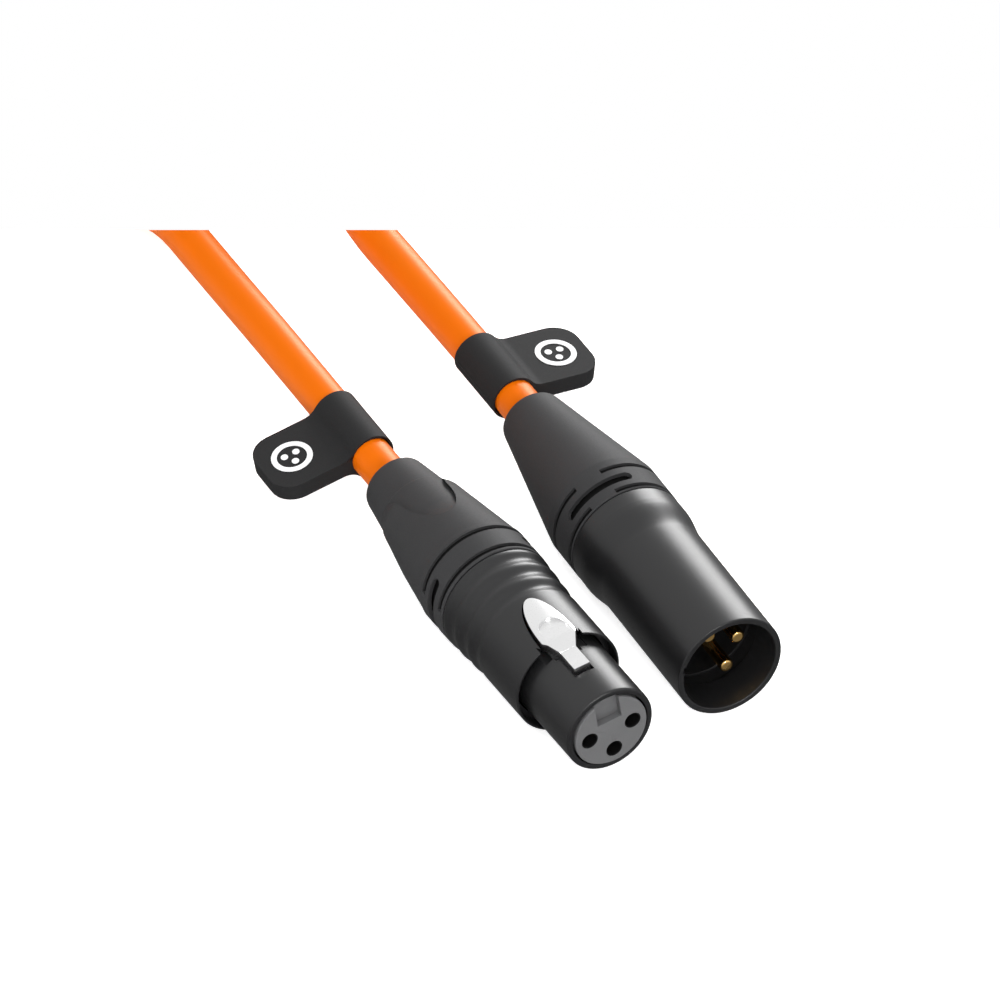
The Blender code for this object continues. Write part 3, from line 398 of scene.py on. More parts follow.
def make_grain_group():
    """Fine surface grain: a mask for colour and roughness, and a bumped normal."""
    group = bpy.data.node_groups.new("Fine grain", "ShaderNodeTree")
    face = group.interface
    for name, value in (("Scale", 4000.0), ("Detail", 3.0), ("Height", 0.00002), ("Strength", 0.4)):
        face.new_socket(name, in_out="INPUT", socket_type="NodeSocketFloat").default_value = value
    face.new_socket("Mask", in_out="OUTPUT", socket_type="NodeSocketFloat")
    face.new_socket("Patches", in_out="OUTPUT", socket_type="NodeSocketFloat")
    face.new_socket("Normal", in_out="OUTPUT", socket_type="NodeSocketVector")
    nodes, links = group.nodes, group.links
    given = nodes.new("NodeGroupInput")
    result = nodes.new("NodeGroupOutput")
    place = nodes.new("ShaderNodeTexCoord")
    noise = nodes.new("ShaderNodeTexNoise")
    noise.inputs["Roughness"].default_value = 0.6
    slow = nodes.new("ShaderNodeTexNoise")
    slow.inputs["Scale"].default_value = 160.0
    slow.inputs["Detail"].default_value = 4.0
    bump = nodes.new("ShaderNodeBump")
    links.new(place.outputs["Object"], noise.inputs["Vector"])
    links.new(place.outputs["Object"], slow.inputs["Vector"])
    links.new(given.outputs["Scale"], noise.inputs["Scale"])
    links.new(given.outputs["Detail"], noise.inputs["Detail"])
    links.new(given.outputs["Height"], bump.inputs["Distance"])
    links.new(given.outputs["Strength"], bump.inputs["Strength"])
    links.new(noise.outputs["Fac"], bump.inputs["Height"])
    links.new(noise.outputs["Fac"], result.inputs["Mask"])
    links.new(slow.outputs["Fac"], result.inputs["Patches"])
    links.new(bump.outputs["Normal"], result.inputs["Normal"])
    return group


def make_finish(
    name,
    grain,
    tone,
    roughness,
    metallic=0.0,
    scale=4000.0,
    height=0.02,
    vary=0.08,
    gloss=0.5,
    tint=(1, 1, 1),
):
    """A grained finish: its tone and roughness drift a little over the surface."""
    material = bpy.data.materials.new(name)
    material.use_nodes = True
    nodes, links = material.node_tree.nodes, material.node_tree.links
    shader = nodes["Principled BSDF"]
    shader.inputs["Metallic"].default_value = metallic
    shader.inputs["Specular IOR Level"].default_value = gloss
    shader.inputs["Specular Tint"].default_value = (*tint, 1)
    fine = nodes.new("ShaderNodeGroup")
    fine.node_tree = grain
    fine.inputs["Scale"].default_value = scale
    fine.inputs["Height"].default_value = height * MM
    mix = nodes.new("ShaderNodeMix")
    mix.data_type = "RGBA"
    mix.inputs["A"].default_value = (*(c * (1 - vary) for c in tone), 1)
    mix.inputs["B"].default_value = (*(min(1.0, c * (1 + vary)) for c in tone), 1)
    spread = nodes.new("ShaderNodeMapRange")
    spread.inputs["From Min"].default_value = 0.3
    spread.inputs["From Max"].default_value = 0.7
    spread.inputs["To Min"].default_value = roughness - 0.04
    spread.inputs["To Max"].default_value = roughness + 0.04
    links.new(fine.outputs["Patches"], mix.inputs["Factor"])
    links.new(mix.outputs["Result"], shader.inputs["Base Color"])
    links.new(fine.outputs["Mask"], spread.inputs["Value"])
    links.new(spread.outputs["Result"], shader.inputs["Roughness"])
    links.new(fine.outputs["Normal"], shader.inputs["Normal"])
    return material


def make_weave(name, grain, tone):
    """The strap's looped fabric: crossed bands with a fine nap over them."""
    material = make_finish(name, grain, tone, 0.9, scale=2600.0, height=0.15, vary=0.25)
    nodes, links = material.node_tree.nodes, material.node_tree.links
    shader = nodes["Principled BSDF"]
    shader.inputs["Sheen Weight"].default_value = 0.25
    place = nodes.new("ShaderNodeTexCoord")
    bump = nodes.new("ShaderNodeBump")
    bump.inputs["Distance"].default_value = 0.2 * MM
    bump.inputs["Strength"].default_value = 0.6
    total = nodes.new("ShaderNodeMath")
    total.operation = "MULTIPLY"
    for k, direction in enumerate(("X", "Y")):
        band = nodes.new("ShaderNodeTexWave")
        band.bands_direction = direction
        band.inputs["Scale"].default_value = 300.0
        band.inputs["Distortion"].default_value = 1.2
        links.new(place.outputs["Object"], band.inputs["Vector"])
        links.new(band.outputs["Fac"], total.inputs[k])
    links.new(total.outputs["Value"], bump.inputs["Height"])
    fine = next(n for n in nodes if n.type == "GROUP")
    links.new(fine.outputs["Normal"], bump.inputs["Normal"])
    links.new(bump.outputs["Normal"], shader.inputs["Normal"])
    return material


FINISHES = {}


def mix_finishes():
    tones = bpy.context.scene.cable_colours
    grain = make_grain_group()
    make = make_finish
    FINISHES.update(
        black_shell=make("Satin black", grain, tones.shell, 0.36, scale=5200.0, height=0.006),
        insert=make(
            "Moulded insert", grain, tones.insert, 0.55, scale=3600.0, height=0.012, gloss=0.3
        ),
        # Black nylon of the real parts; the same finish is painted shade on the boot grooves' floors and in the
        # contact holes' linings.
        nylon=make("Black nylon", grain, (0.004, 0.004, 0.004), 0.5, gloss=0.1),
        boot_rubber=make("Boot rubber", grain, tones.boot, 0.62, scale=4200.0, gloss=0.3),
        tag_rubber=make("Tag rubber", grain, tones.tag, 0.7, scale=4200.0, gloss=0.25),
        orange_jacket=make(
            "Orange jacket",
            grain,
            tones.jacket,
            0.42,
            scale=2600.0,
            height=0.012,
            vary=0.02,
            tint=(1, 0.45, 0.04),
        ),
        nickel=make(
            "Satin nickel", grain, tones.nickel, 0.3, 1.0, scale=5200.0, height=0.004, vary=0.03
        ),
        gold=make("Gold plate", grain, tones.gold, 0.14, 1.0, height=0.004, vary=0.05),
        steel=make("Spring steel", grain, (0.5, 0.5, 0.5), 0.32, 1.0, height=0.006),
        red_wire=make("Red insulation", grain, (0.45, 0.015, 0.012), 0.45),
        white_wire=make("White insulation", grain, (0.75, 0.74, 0.7), 0.45),
        bare_wire=make("Bare copper", grain, (0.75, 0.35, 0.18), 0.35, 1.0, height=0.05),
        white_print=make("White print", grain, (0.88, 0.88, 0.88), 0.5, height=0.006, vary=0.02),
        hook_and_loop=make_weave("Looped fabric", grain, (0.02, 0.02, 0.021)),
    )


# Pieces


class CABLE_OT_stage(Operator):
    """Pale floor, matte card over the unseen length, soft lights and the camera"""

    bl_idname = "cable.stage"
    bl_label = "Stage"

    def execute(self, context):
        scene = context.scene
        scene.view_settings.view_transform = "Standard"
        scene.view_settings.look = "None"
        self.make_world(scene)
        self.make_floor()
        camera = self.make_camera(scene)
        self.make_card(camera)
        # Name, direction from the object, distance, size, power, and whether reflections show it
        for light in (
            ("Side window", (0.66, 0.66, 0.30), 0.75, (0.30, 0.40), 3.6, True),
            ("Front window", (-0.05, -0.85, 0.5), 0.9, (0.25, 0.12), 2.4, True),
            ("Overhead", (-0.25, -0.25, 1.0), 1.1, (0.9, 0.9), 10.5, False),
            ("Front fill", (-0.55, -0.9, 0.55), 1.2, (0.8, 0.8), 7.0, False),
            ("Right fill", (0.9, -0.2, 0.5), 1.2, (0.8, 0.8), 4.0, False),
        ):
            self.soft_light(*light)
        return {"FINISHED"}

    @staticmethod
    def make_world(scene):
        """White to the lens, dim light on surfaces, and reflections that grow paler upwards."""
        world = bpy.data.worlds.new("Studio")
        scene.world = world
        world.use_nodes = True
        nodes, links = world.node_tree.nodes, world.node_tree.links
        seen = nodes["Background"]
        seen.inputs["Color"].default_value = (1, 1, 1, 1)
        dim = nodes.new("ShaderNodeBackground")
        dim.inputs["Strength"].default_value = 0.16
        room = nodes.new("ShaderNodeBackground")
        place = nodes.new("ShaderNodeTexCoord")
        axes = nodes.new("ShaderNodeSeparateXYZ")
        height = nodes.new("ShaderNodeMapRange")
        height.interpolation_type = "SMOOTHSTEP"
        height.inputs["From Min"].default_value = -0.55
        height.inputs["From Max"].default_value = 0.6
        height.inputs["To Min"].default_value = 0.22
        height.inputs["To Max"].default_value = 1.2
        ray = nodes.new("ShaderNodeLightPath")
        reflected = nodes.new("ShaderNodeMixShader")
        mix = nodes.new("ShaderNodeMixShader")
        links.new(place.outputs["Generated"], axes.inputs["Vector"])
        links.new(axes.outputs["Z"], height.inputs["Value"])
        links.new(height.outputs["Result"], room.inputs["Strength"])
        links.new(ray.outputs["Is Glossy Ray"], reflected.inputs["Fac"])
        links.new(dim.outputs["Background"], reflected.inputs[1])
        links.new(room.outputs["Background"], reflected.inputs[2])
        links.new(ray.outputs["Is Camera Ray"], mix.inputs["Fac"])
        links.new(reflected.outputs["Shader"], mix.inputs[1])
        links.new(seen.outputs["Background"], mix.inputs[2])
        links.new(mix.outputs["Shader"], nodes["World Output"].inputs["Surface"])

    @staticmethod
    def make_floor():
        start_fresh()
        bpy.ops.mesh.primitive_plane_add(size=60, location=(0, 0, -0.02 * MM))
        floor = newest("Floor")
        material = bpy.data.materials.new("Pale floor")
        material.use_nodes = True
        shader = material.node_tree.nodes["Principled BSDF"]
        shader.inputs["Base Color"].default_value = (0.9, 0.9, 0.9, 1)
        shader.inputs["Roughness"].default_value = 0.9
        shader.inputs["Emission Color"].default_value = (1, 1, 1, 1)
        shader.inputs["Emission Strength"].default_value = 0.72
        floor.data.materials.append(material)
        floor.visible_glossy = False

    @staticmethod
    def make_camera(scene):
        data = bpy.data.cameras.new("Long lens")
        data.lens = CAMERA_LENS
        data.sensor_width = SENSOR
        data.clip_end = 100
        camera = bpy.data.objects.new("Camera", data)
        scene.collection.objects.link(camera)
        scene.camera = camera
        azimuth, elevation = math.radians(CAMERA_AZIMUTH), math.radians(CAMERA_ELEVATION)
        level = math.cos(elevation)
        back = Vector(
            (math.sin(azimuth) * level, -math.cos(azimuth) * level, math.sin(elevation))
        )
        target = Vector(MOUNTS["female_face"]["pos_m"]) + Vector(CAMERA_TARGET) * MM
        camera.location = target + back * CAMERA_DISTANCE
        camera.rotation_euler = back.to_track_quat("Z", "Y").to_euler()
        return camera

    @staticmethod
    def make_card(camera):
        """A white card held near the lens, which the camera sees and nothing else does."""
        start_fresh()
        # As far off as the lens is long, the picture is just as wide as the sensor.
        low = CARD_LEVEL * SENSOR * MM
        width, height = 0.09, 0.03
        bpy.ops.mesh.primitive_plane_add(size=1)
        card = newest("Matte card")
        card.scale = (width, height, 1)
        card.location = (0, low + height / 2, -CAMERA_LENS * MM)
        bpy.context.view_layer.update()
        settle(card, camera.matrix_world)
        material = bpy.data.materials.new("White card")
        material.use_nodes = True
        shader = material.node_tree.nodes["Principled BSDF"]
        shader.inputs["Base Color"].default_value = (0, 0, 0, 1)
        shader.inputs["Specular IOR Level"].default_value = 0
        shader.inputs["Emission Color"].default_value = (1, 1, 1, 1)
        shader.inputs["Emission Strength"].default_value = 1.0
        card.data.materials.append(material)
        card.visible_diffuse = False
        card.visible_glossy = False
        card.visible_transmission = False
        card.visible_shadow = False

    @staticmethod
    def soft_light(name, direction, distance, size, power, glossy):
        data = bpy.data.lights.new(name, "AREA")
        data.shape = "RECTANGLE"
        data.size, data.size_y = size
        data.energy = power
        light = bpy.data.objects.new(name, data)
        bpy.context.scene.collection.objects.link(light)
        away = Vector(direction).normalized()
        light.location = Vector(LIT_POINT) + away * distance
        light.rotation_euler = away.to_track_quat("Z", "Y").to_euler()
        light.visible_glossy = glossy
        light.visible_camera = False


def smooth_route(points, spacing):
    """Points about spacing apart on the smooth curve through the given ones."""
    path = [Vector(p) for p in points]
    path = [2 * path[0] - path[1], *path, 2 * path[-1] - path[-2]]
    made = [path[1]]
    for a, b, c, d in zip(path, path[1:], path[2:], path[3:]):
        count = max(1, round((c - b).length / spacing))
        for k in range(1, count + 1):
            t = k / count
            square = (2 * a - 5 * b + 4 * c - d) * t * t
            cube = (3 * b - a - 3 * c + d) * t**3
            made.append(0.5 * (2 * b + (c - a) * t + square + cube))
    return made


def coil_centre():
    low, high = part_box("coil")
    return Vector(((low[0] + high[0]) / 2, (low[1] + high[1]) / 2, 0))


class CABLE_OT_cord(Operator):
    """The cord: a lead to each connector and the coil between them"""

    bl_idname = "cable.cord"
    bl_label = "Cord"

    def execute(self, context):
        sizes = context.scene.cable_sizes
        first = [FEMALE @ Vector((0, 0, z * MM)) for z in CORD_INSIDE_BOOT] + FEMALE_ROUTE[:-1]
        last = [MALE @ Vector((0, 0, z * MM)) for z in CORD_INSIDE_BOOT] + MALE_ROUTE[:-1]
        path = smooth_route(first + self.coil_path(sizes) + last[::-1], 4 * MM)
        curve = bpy.data.curves.new("cord", "CURVE")
        curve.dimensions = "3D"
        curve.bevel_depth = sizes.cord_diameter / 2
        curve.bevel_resolution = 6
        curve.use_fill_caps = True
        spline = curve.splines.new("POLY")
        spline.points.add(len(path) - 1)
        for point, co in zip(spline.points, path):
            point.co = (*co, 1)
        spline.use_smooth = True
        cord = bpy.data.objects.new("cord", curve)
        context.scene.collection.objects.link(cord)
        hand_over(cord, "cable", "orange_jacket", "female_lead", "male_lead", "coil")
        return {"FINISHED"}

    @staticmethod
    def coil_path(sizes):
        """Layer on layer of turns, each stepping to the next where the leads come in."""
        centre = coil_centre()
        start = Vector(FEMALE_ROUTE[-1]) - centre
        first = math.atan2(start.y, start.x)
        sector = -math.pi - 2 * first
        whole = 2 * math.pi
        places = []
        for layer in range(sizes.layers):
            columns = range(sizes.columns)
            for column in columns if layer % 2 else reversed(columns):
                radius = sizes.inner_turn + column * sizes.turn_pitch
                places.append((radius, FIRST_LAYER * MM + layer * sizes.layer_pitch))
        steps = []
        for k, (radius, z) in enumerate(places):
            for step in range(POINTS_PER_TURN):
                share = step / POINTS_PER_TURN
                steps.append((first - k * whole - (whole - sector) * share, radius, z))
            if k + 1 < len(places):
                to_radius, to_z = places[k + 1]
                bulge = 0.0
                if to_z > z:
                    bulge = STEP_BULGE * MM * (1 if radius > sizes.inner_turn * 1.1 else -1)
                for step in range(POINTS_PER_STEP):
                    share = step / POINTS_PER_STEP
                    ease = smooth_step(share)
                    steps.append((
                        first - (k + 1) * whole + sector * (1 - share),
                        radius + (to_radius - radius) * ease + bulge * math.sin(math.pi * share),
                        z + (to_z - z) * ease,
                    ))
        made = []
        for angle, radius, z in steps:
            # Every turn rises a little where it lies on the strap, on the far side.
            off = (angle - math.pi / 2 + math.pi) % whole - math.pi
            reach = min(abs(off) * radius / (STRAP_LIFT_REACH * MM), math.pi / 2)
            z += STRAP_LIFT * MM * max(0.0, math.cos(reach)) ** 0.5
            made.append(centre + Vector((radius * math.cos(angle), radius * math.sin(angle), z)))
        return made


class CABLE_OT_tie(Operator):
    """The looped strap round the coil, with its stitched end"""

    bl_idname = "cable.tie"
    bl_label = "Coil tie"

    def execute(self, context):
        sizes = context.scene.cable_sizes
        low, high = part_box("coil_tie")
        wall = sizes.tie_wall / MM
        y0, y1 = low[1] / MM, high[1] / MM
        z0, z1 = 0.08, high[2] / MM - 0.1
        # The outline is drawn in Y and Z, then turned to stand across X.
        upright = Matrix(((0, 0, 1, 0), (1, 0, 0, 0), (0, 1, 0, 0), (0, 0, 0, 1)))
        outer = self.rounded_loop(y0, y1, z0, z1, 4.6)
        inner = self.rounded_loop(y0 + wall, y1 - wall, z0 + wall, z1 - wall, 3.5)
        strap = slab("tie_strap", outer, sizes.tie_width / MM, upright)
        combine(strap, slab("tie_inside", inner, sizes.tie_width / MM + 4, upright))
        round_edges(strap, 0.3, 50)
        hand_over(strap, "cable", "hook_and_loop", "coil_tie")
        end = self.rounded_loop(y0 + 8, y1 - 9, z1 - 0.1, z1 + 0.9, 0.45)
        flap = slab("tie_flap", end, sizes.tie_width / MM - 0.4, upright)
        round_edges(flap, 0.25, 50)
        hand_over(flap, "cable", "hook_and_loop")
        stitches = None
        for row in (y1 - 12.0, y1 - 14.5):
            for k in range(6):
                place = Matrix.Translation(Vector((-6.0 + k * 2.4, row, z1 + 0.9)) * MM)
                place = place @ Matrix.Rotation(math.pi / 2, 4, "Y")
                stitch = cylinder("stitch", 0.16, 1.5, place, 10)
                stitches = stitch if stitches is None else combine(stitches, stitch, "UNION")
        stitches.name = "tie_stitches"
        tidy(stitches)
        hand_over(stitches, "cable", "hook_and_loop", finish="nylon")
        return {"FINISHED"}

    @staticmethod
    def rounded_loop(y0, y1, z0, z1, corner):
        """A rectangle's outline with its four corners rounded."""
        made = []
        y0, y1, z0, z1 = y0 + corner, y1 - corner, z0 + corner, z1 - corner
        for k, (y, z) in enumerate(((y1, z1), (y0, z1), (y0, z0), (y1, z0))):
            for step in range(7):
                angle = math.radians(90 * k + 15 * step)
                made.append((y + corner * math.cos(angle), z + corner * math.sin(angle)))
        return made


def neck_rings(rear):
    """The threaded neck's outer side, from its rear end to the shoulder."""
    made = [(7.45, rear + NECK_LENGTH, 0.15)]
    for turn in range(5):
        z = rear + NECK_LENGTH - (turn + 0.5)
        made += [(7.9, z + 0.12), (7.9, z - 0.12), (7.55, z - 0.5)]
    made.append((7.55, rear))
    return made


def shield(clearance=0.0):
    """The latch pad's outline as (z, y) in mm: a half ellipse with its flat side to the front."""
    half, length = PAD_HALF_WIDTH + clearance, PAD_LENGTH + clearance
    points = 28
    made = []
    for k in range(points + 1):
        angle = math.pi / 2 - math.pi * k / points
        made.append((PAD_FRONT + length * math.cos(angle), half * math.sin(angle)))
    return made


class CABLE_OT_female_shell(Operator):
    """The female shell with its grip ridges, front recess and latch slot"""

    bl_idname = "cable.female_shell"
    bl_label = "Female shell"

    def execute(self, context):
        sizes = context.scene.connector_sizes
        body, front, rim = (v / MM for v in (sizes.body_radius, sizes.front_radius, sizes.rim))
        pitch, depth = sizes.ridge_pitch / MM, sizes.ridge_depth / MM
        rear = FEMALE_REAR
        profile = neck_rings(rear)
        profile.append((body - 0.06, rear, 0.2))
        ridges, steps = 3, 36
        for k in range(1, steps + 1):
            share = k / steps
            wave = 0.5 - 0.5 * math.cos(2 * math.pi * ridges * share)
            radius = body + (front - body) * share - depth * wave
            profile.append((radius, rear - 0.3 - ridges * pitch * share))
        profile += [(front, 25.4), (front, rim, 0.32), (9.25, rim, 0.08), (9.2, rim + 2.6)]
        profile += [(8.3, rim + 2.6), (8.3, rear - 2), (NECK_INSIDE, rear)]
        profile.append((NECK_INSIDE, rear + NECK_LENGTH))
        shell = lathe("female_shell_fine", profile, 128)
        slot = shield(0.4) + [(15.9, -4.0), (rim - 1, -4.0), (rim - 1, 4.0), (15.9, 4.0)]
        cutter = slab("latch_slot", [(-z, y) for z, y in slot], 9.5, over_key(BODY_RADIUS))
        combine(shell, cutter)
        tidy(shell)
        even_shading(shell)
        settle(shell, FEMALE)
        hand_over(shell, "cable", "black_shell", "female_shell")
        return {"FINISHED"}


class CABLE_OT_female_front(Operator):
    """The female nose tube and its insert with keyway and contact holes"""

    bl_idname = "cable.female_front"
    bl_label = "Female nose and insert"

    def execute(self, context):
        sizes = context.scene.connector_sizes
        radius, wall = sizes.nose_radius / MM, sizes.nose_wall / MM
        inner = radius - wall
        nose = lathe(
            "female_nose_fine",
            [(radius, 23.6), (radius, 0.35, 0.55), (inner, 0.35, 0.14), (inner, 23.6)],
            128,
        )
        combine(nose, box("hook_pocket", *HOOK_ROOM))
        combine(nose, box("shoulder_room", (6.2, -2.5, 12.1), (10.5, 2.5, 13.4)))
        combine(nose, box("latch_window", (6.6, -3.95, 13.0), (9.5, 3.95, 24.8)))
        tidy(nose)
        even_shading(nose)
        settle(nose, FEMALE)
        hand_over(nose, "cable", "black_shell", "female_nose")

        side = inner - 0.3
        profile = [(side, 21.5), (side, 0.0, 0.2), (0.01, 0.0)]
        insert = lathe("female_insert_fine", profile, 96, False)
        combine(insert, box("keyway", (2.2, -2.25, -1.0), (8.0, 2.25, 1.2)))
        combine(insert, box("insert_pocket", *HOOK_ROOM))
        hole = [(2.05, 23.0), (2.05, 2.7), (1.5, 2.7), (1.5, -1.0)]
        for angle in KEY_TO_PINS:
            bore = lathe("contact_hole", hole, 40, False)
            settle(bore, on_circle(angle, sizes.pin_circle))
            combine(insert, bore)
        round_edges(insert, 0.06, 50)
        settle(insert, FEMALE)
        hand_over(insert, "cable", "insert", "female_insert")
        # Near-black linings just inside the contact holes' mouths: painted shade in the holes.
        shade_sleeve = [(1.49, 2.7), (1.49, 0.06), (1.36, 0.12), (1.36, 2.7)]
        for k, angle in enumerate(KEY_TO_PINS):
            shade_lining = lathe(f"hole_liner_{k + 1}", shade_sleeve, 40)
            settle(shade_lining, FEMALE @ on_circle(angle, sizes.pin_circle))
            hand_over(shade_lining, "cable", "nylon")
        return {"FINISHED"}


class CABLE_OT_latch(Operator):
    """The latch lever with its thumb dish, skirt and hook"""

    bl_idname = "cable.latch"
    bl_label = "Latch"

    def execute(self, context):
        side = [
            (7.5, 9.0), (12.15, 9.0), (12.3, 9.2), (14.9, 10.32), (15.6, 11.4), (26.4, 11.4),
            (26.4, 8.7), (16.2, 8.7), (15.4, 8.3), (8.6, 8.3), (8.6, 7.55), (7.5, 7.55),
        ]
        latch = slab("latch_lever", side, 12.0, ALONG_KEY)
        hook = [(12.1, -1.45), (6.4, -1.45), (6.4, 1.45), (12.1, 1.45)]
        outline = [(-z, y) for z, y in shield() + hook]
        combine(latch, slab("latch_outline", outline, 12.0, over_key(10.3)), "INTERSECT")
        crown = lathe("latch_crown", [(10.3, 28.0), (10.3, 4.0)], 160, False)
        combine(latch, crown, "INTERSECT")
        dish = Matrix.Translation(Vector((11.15, 0, 17.2)) * MM)
        dish = dish @ Matrix.Rotation(math.radians(90 - 8), 4, "Y")
        combine(latch, cylinder("thumb_dish", 2.3, 2.4, dish, 64))
        round_edges(latch, 0.16, 38, 3)
        settle(latch, FEMALE)
        hand_over(latch, "female_latch", "nickel", "female_latch")
        return {"FINISHED"}


def cut_windows(boot, grooves, place, body):
    """Two round-ended windows and four grooves that stop short of them, each groove with a near-black sheet at its
    floor as painted shade.
    """
    first, window, last = grooves
    deep, outside, half, span = BODY_RADIUS - 1.5, 10.8, 0.95, 66
    shade_floors = []
    for middle in (90, -90):
        low, high = window - half, window + half
        combine(boot, sector("window", deep, outside, low, high, middle, span))
        for end in (-span / 2, span / 2):
            spin = Matrix.Rotation(math.radians(middle + end), 4, "Z")
            spot = spin @ Matrix.Translation(Vector((deep + 1.2, 0, window)) * MM)
            spot = spot @ Matrix.Rotation(math.pi / 2, 4, "Y")
            combine(boot, cylinder("window_end", half, 2.4, spot, 24))
        for z in (first, last):
            combine(boot, sector("groove", 9.66, outside, z - 0.5, z + 0.5, middle + 90, 152))
            # A near-black sheet just under the groove's floor paints the shade in the groove.
            floor = sector("groove_shade_sheet", 9.6, 9.74, z - 0.54, z + 0.54, middle + 90, 152.6)
            shade_floors.append(floor)
    choose(shade_floors[0])
    for floor in shade_floors:
        floor.select_set(True)
    bpy.ops.object.join()
    floor = newest(boot.name.replace("fine", "groove_shade_sheets"))
    settle(floor, place)
    hand_over(floor, body, "nylon")


def boot_inside(shell_rear):
    """The cavity round the nut, from the cord's bore to the open front."""
    return [
        (9.5, shell_rear + 0.3),
        (9.5, shell_rear + 8.1),
        (7.4, shell_rear + 14.3),
        (3.85, shell_rear + 14.3),
    ]


class CABLE_OT_boots(Operator):
    """Both rubber boots, the female one with raised petals between grip scoops"""

    bl_idname = "cable.boots"
    bl_label = "Boots"

    def execute(self, context):
        body = context.scene.connector_sizes.body_radius / MM
        self.female(body)
        self.male(body)
        return {"FINISHED"}

    @staticmethod
    def female(body):
        def petal(z):
            return 10.12 - 0.147 * (z - 46.2)

        def slim(z):
            return 7.45 - 0.1525 * (z - 59.6)

        end = FEMALE_BOOT_END
        profile = [
            (3.72, end, 0.3), (slim(end), end, 1.3), (slim(64.6), 64.6, 0.6),
            (petal(62.3), 62.3, 1.2), (10.08, 46.2, 3.0), (body, 45.4, 0.6),
            (body, FEMALE_REAR + 0.3, 0.25), *boot_inside(FEMALE_REAR),
        ]
        boot = lathe("female_boot_fine", profile, 128)
        floor = [(slim(z) + 0.03, z) for z in (65.6, 62.5, 60.0, 58.0, 56.8)]
        floor += [(7.95, 56.0), (8.3, 54.8), (8.75, 53.4), (9.4, 51.8), (10.2, 50.6)]
        for k in range(3):
            outline = []
            for step in range(25):
                angle = math.radians(90 + 7.5 * step)
                outline.append((61.2 + 8.8 * math.cos(angle), 4.4 * math.sin(angle)))
            outline += [(68.5, -6.2), (68.5, 6.2)]
            turn = Matrix.Rotation(math.radians(120 * k), 4, "Z") @ over_key(BODY_RADIUS)
            scoop = slab("scoop", [(-z, y) for z, y in outline], 12.0, turn)
            room = lathe("scoop_room", [*floor, (13.0, 50.6), (13.0, 65.6)], 128)
            combine(scoop, room, "INTERSECT")
            combine(boot, scoop)
        cut_windows(boot, (39.25, 42.0, 44.45), FEMALE, "female_cap")
        tidy(boot)
        round_edges(boot, 0.1, 38)
        settle(boot, FEMALE)
        hand_over(boot, "female_cap", "boot_rubber", "female_boot")

    @staticmethod
    def male(body):
        end = MALE_BOOT_END
        slim = 10.17 - 0.1853 * (end - 45.7)
        profile = [
            (3.72, end, 0.3), (slim, end, 1.2), (body - 0.02, 45.3, 2.5),
            (body, MALE_REAR + 0.3, 0.25), *boot_inside(MALE_REAR),
        ]
        boot = lathe("male_boot_fine", profile, 128)
        cut_windows(boot, (37.65, 40.3, 43.2), MALE, "male_cap")
        tidy(boot)
        round_edges(boot, 0.1, 38)
        settle(boot, MALE)
        hand_over(boot, "male_cap", "boot_rubber", "male_boot")


class CABLE_OT_male_connector(Operator):
    """The male shell with its flare and catch groove, and the three pins"""

    bl_idname = "cable.male_connector"
    bl_label = "Male shell and pins"

    def execute(self, context):
        sizes = context.scene.connector_sizes
        body, radius = sizes.body_radius / MM, sizes.male_radius / MM
        bore = radius - sizes.male_wall / MM
        rear = MALE_REAR
        profile = neck_rings(rear)
        profile += [(body - 0.06, rear, 0.2), (body, 33.6, 1.2)]
        for k in range(1, 13):
            share = k / 12
            profile.append((body + (radius - body) * smooth_step(share), 33.2 - 5.9 * share))
        groove = bore + 0.45
        profile += [(radius, 0.0, 0.3), (bore, 0.0, 0.3), (bore, 6.8, 0.1), (groove, 6.8)]
        profile += [(groove, 9.8), (bore, 9.8, 0.1), (bore, rear - 2), (NECK_INSIDE, rear)]
        profile.append((NECK_INSIDE, rear + NECK_LENGTH))
        shell = lathe("male_shell_fine", profile, 128)
        nick = box("rim_nick", (bore - 1, -0.55, -1.0), (groove, 0.55, 1.4))
        settle(nick, Matrix.Rotation(math.radians(39), 4, "Z"))
        combine(shell, nick)
        tidy(shell)
        even_shading(shell)
        settle(shell, MALE)
        hand_over(shell, "cable", "black_shell", "male_shell")
        pin = sizes.pin_radius / MM
        profile = [
            (0.95, 25.0), (0.95, 27.5), (pin + 0.25, 27.5), (pin + 0.25, 25.5, 0.1),
            (pin, 25.2), (pin, 4.1, 0.95), (0.02, 4.1),
        ]
        for k, angle in enumerate(KEY_TO_PINS):
            made = lathe(f"pin_{k + 1}_fine", profile, 48, False)
            settle(made, MALE @ on_circle(angle, sizes.pin_circle))
            hand_over(made, "cable", "gold", f"male_pin_{k + 1}")
        return {"FINISHED"}


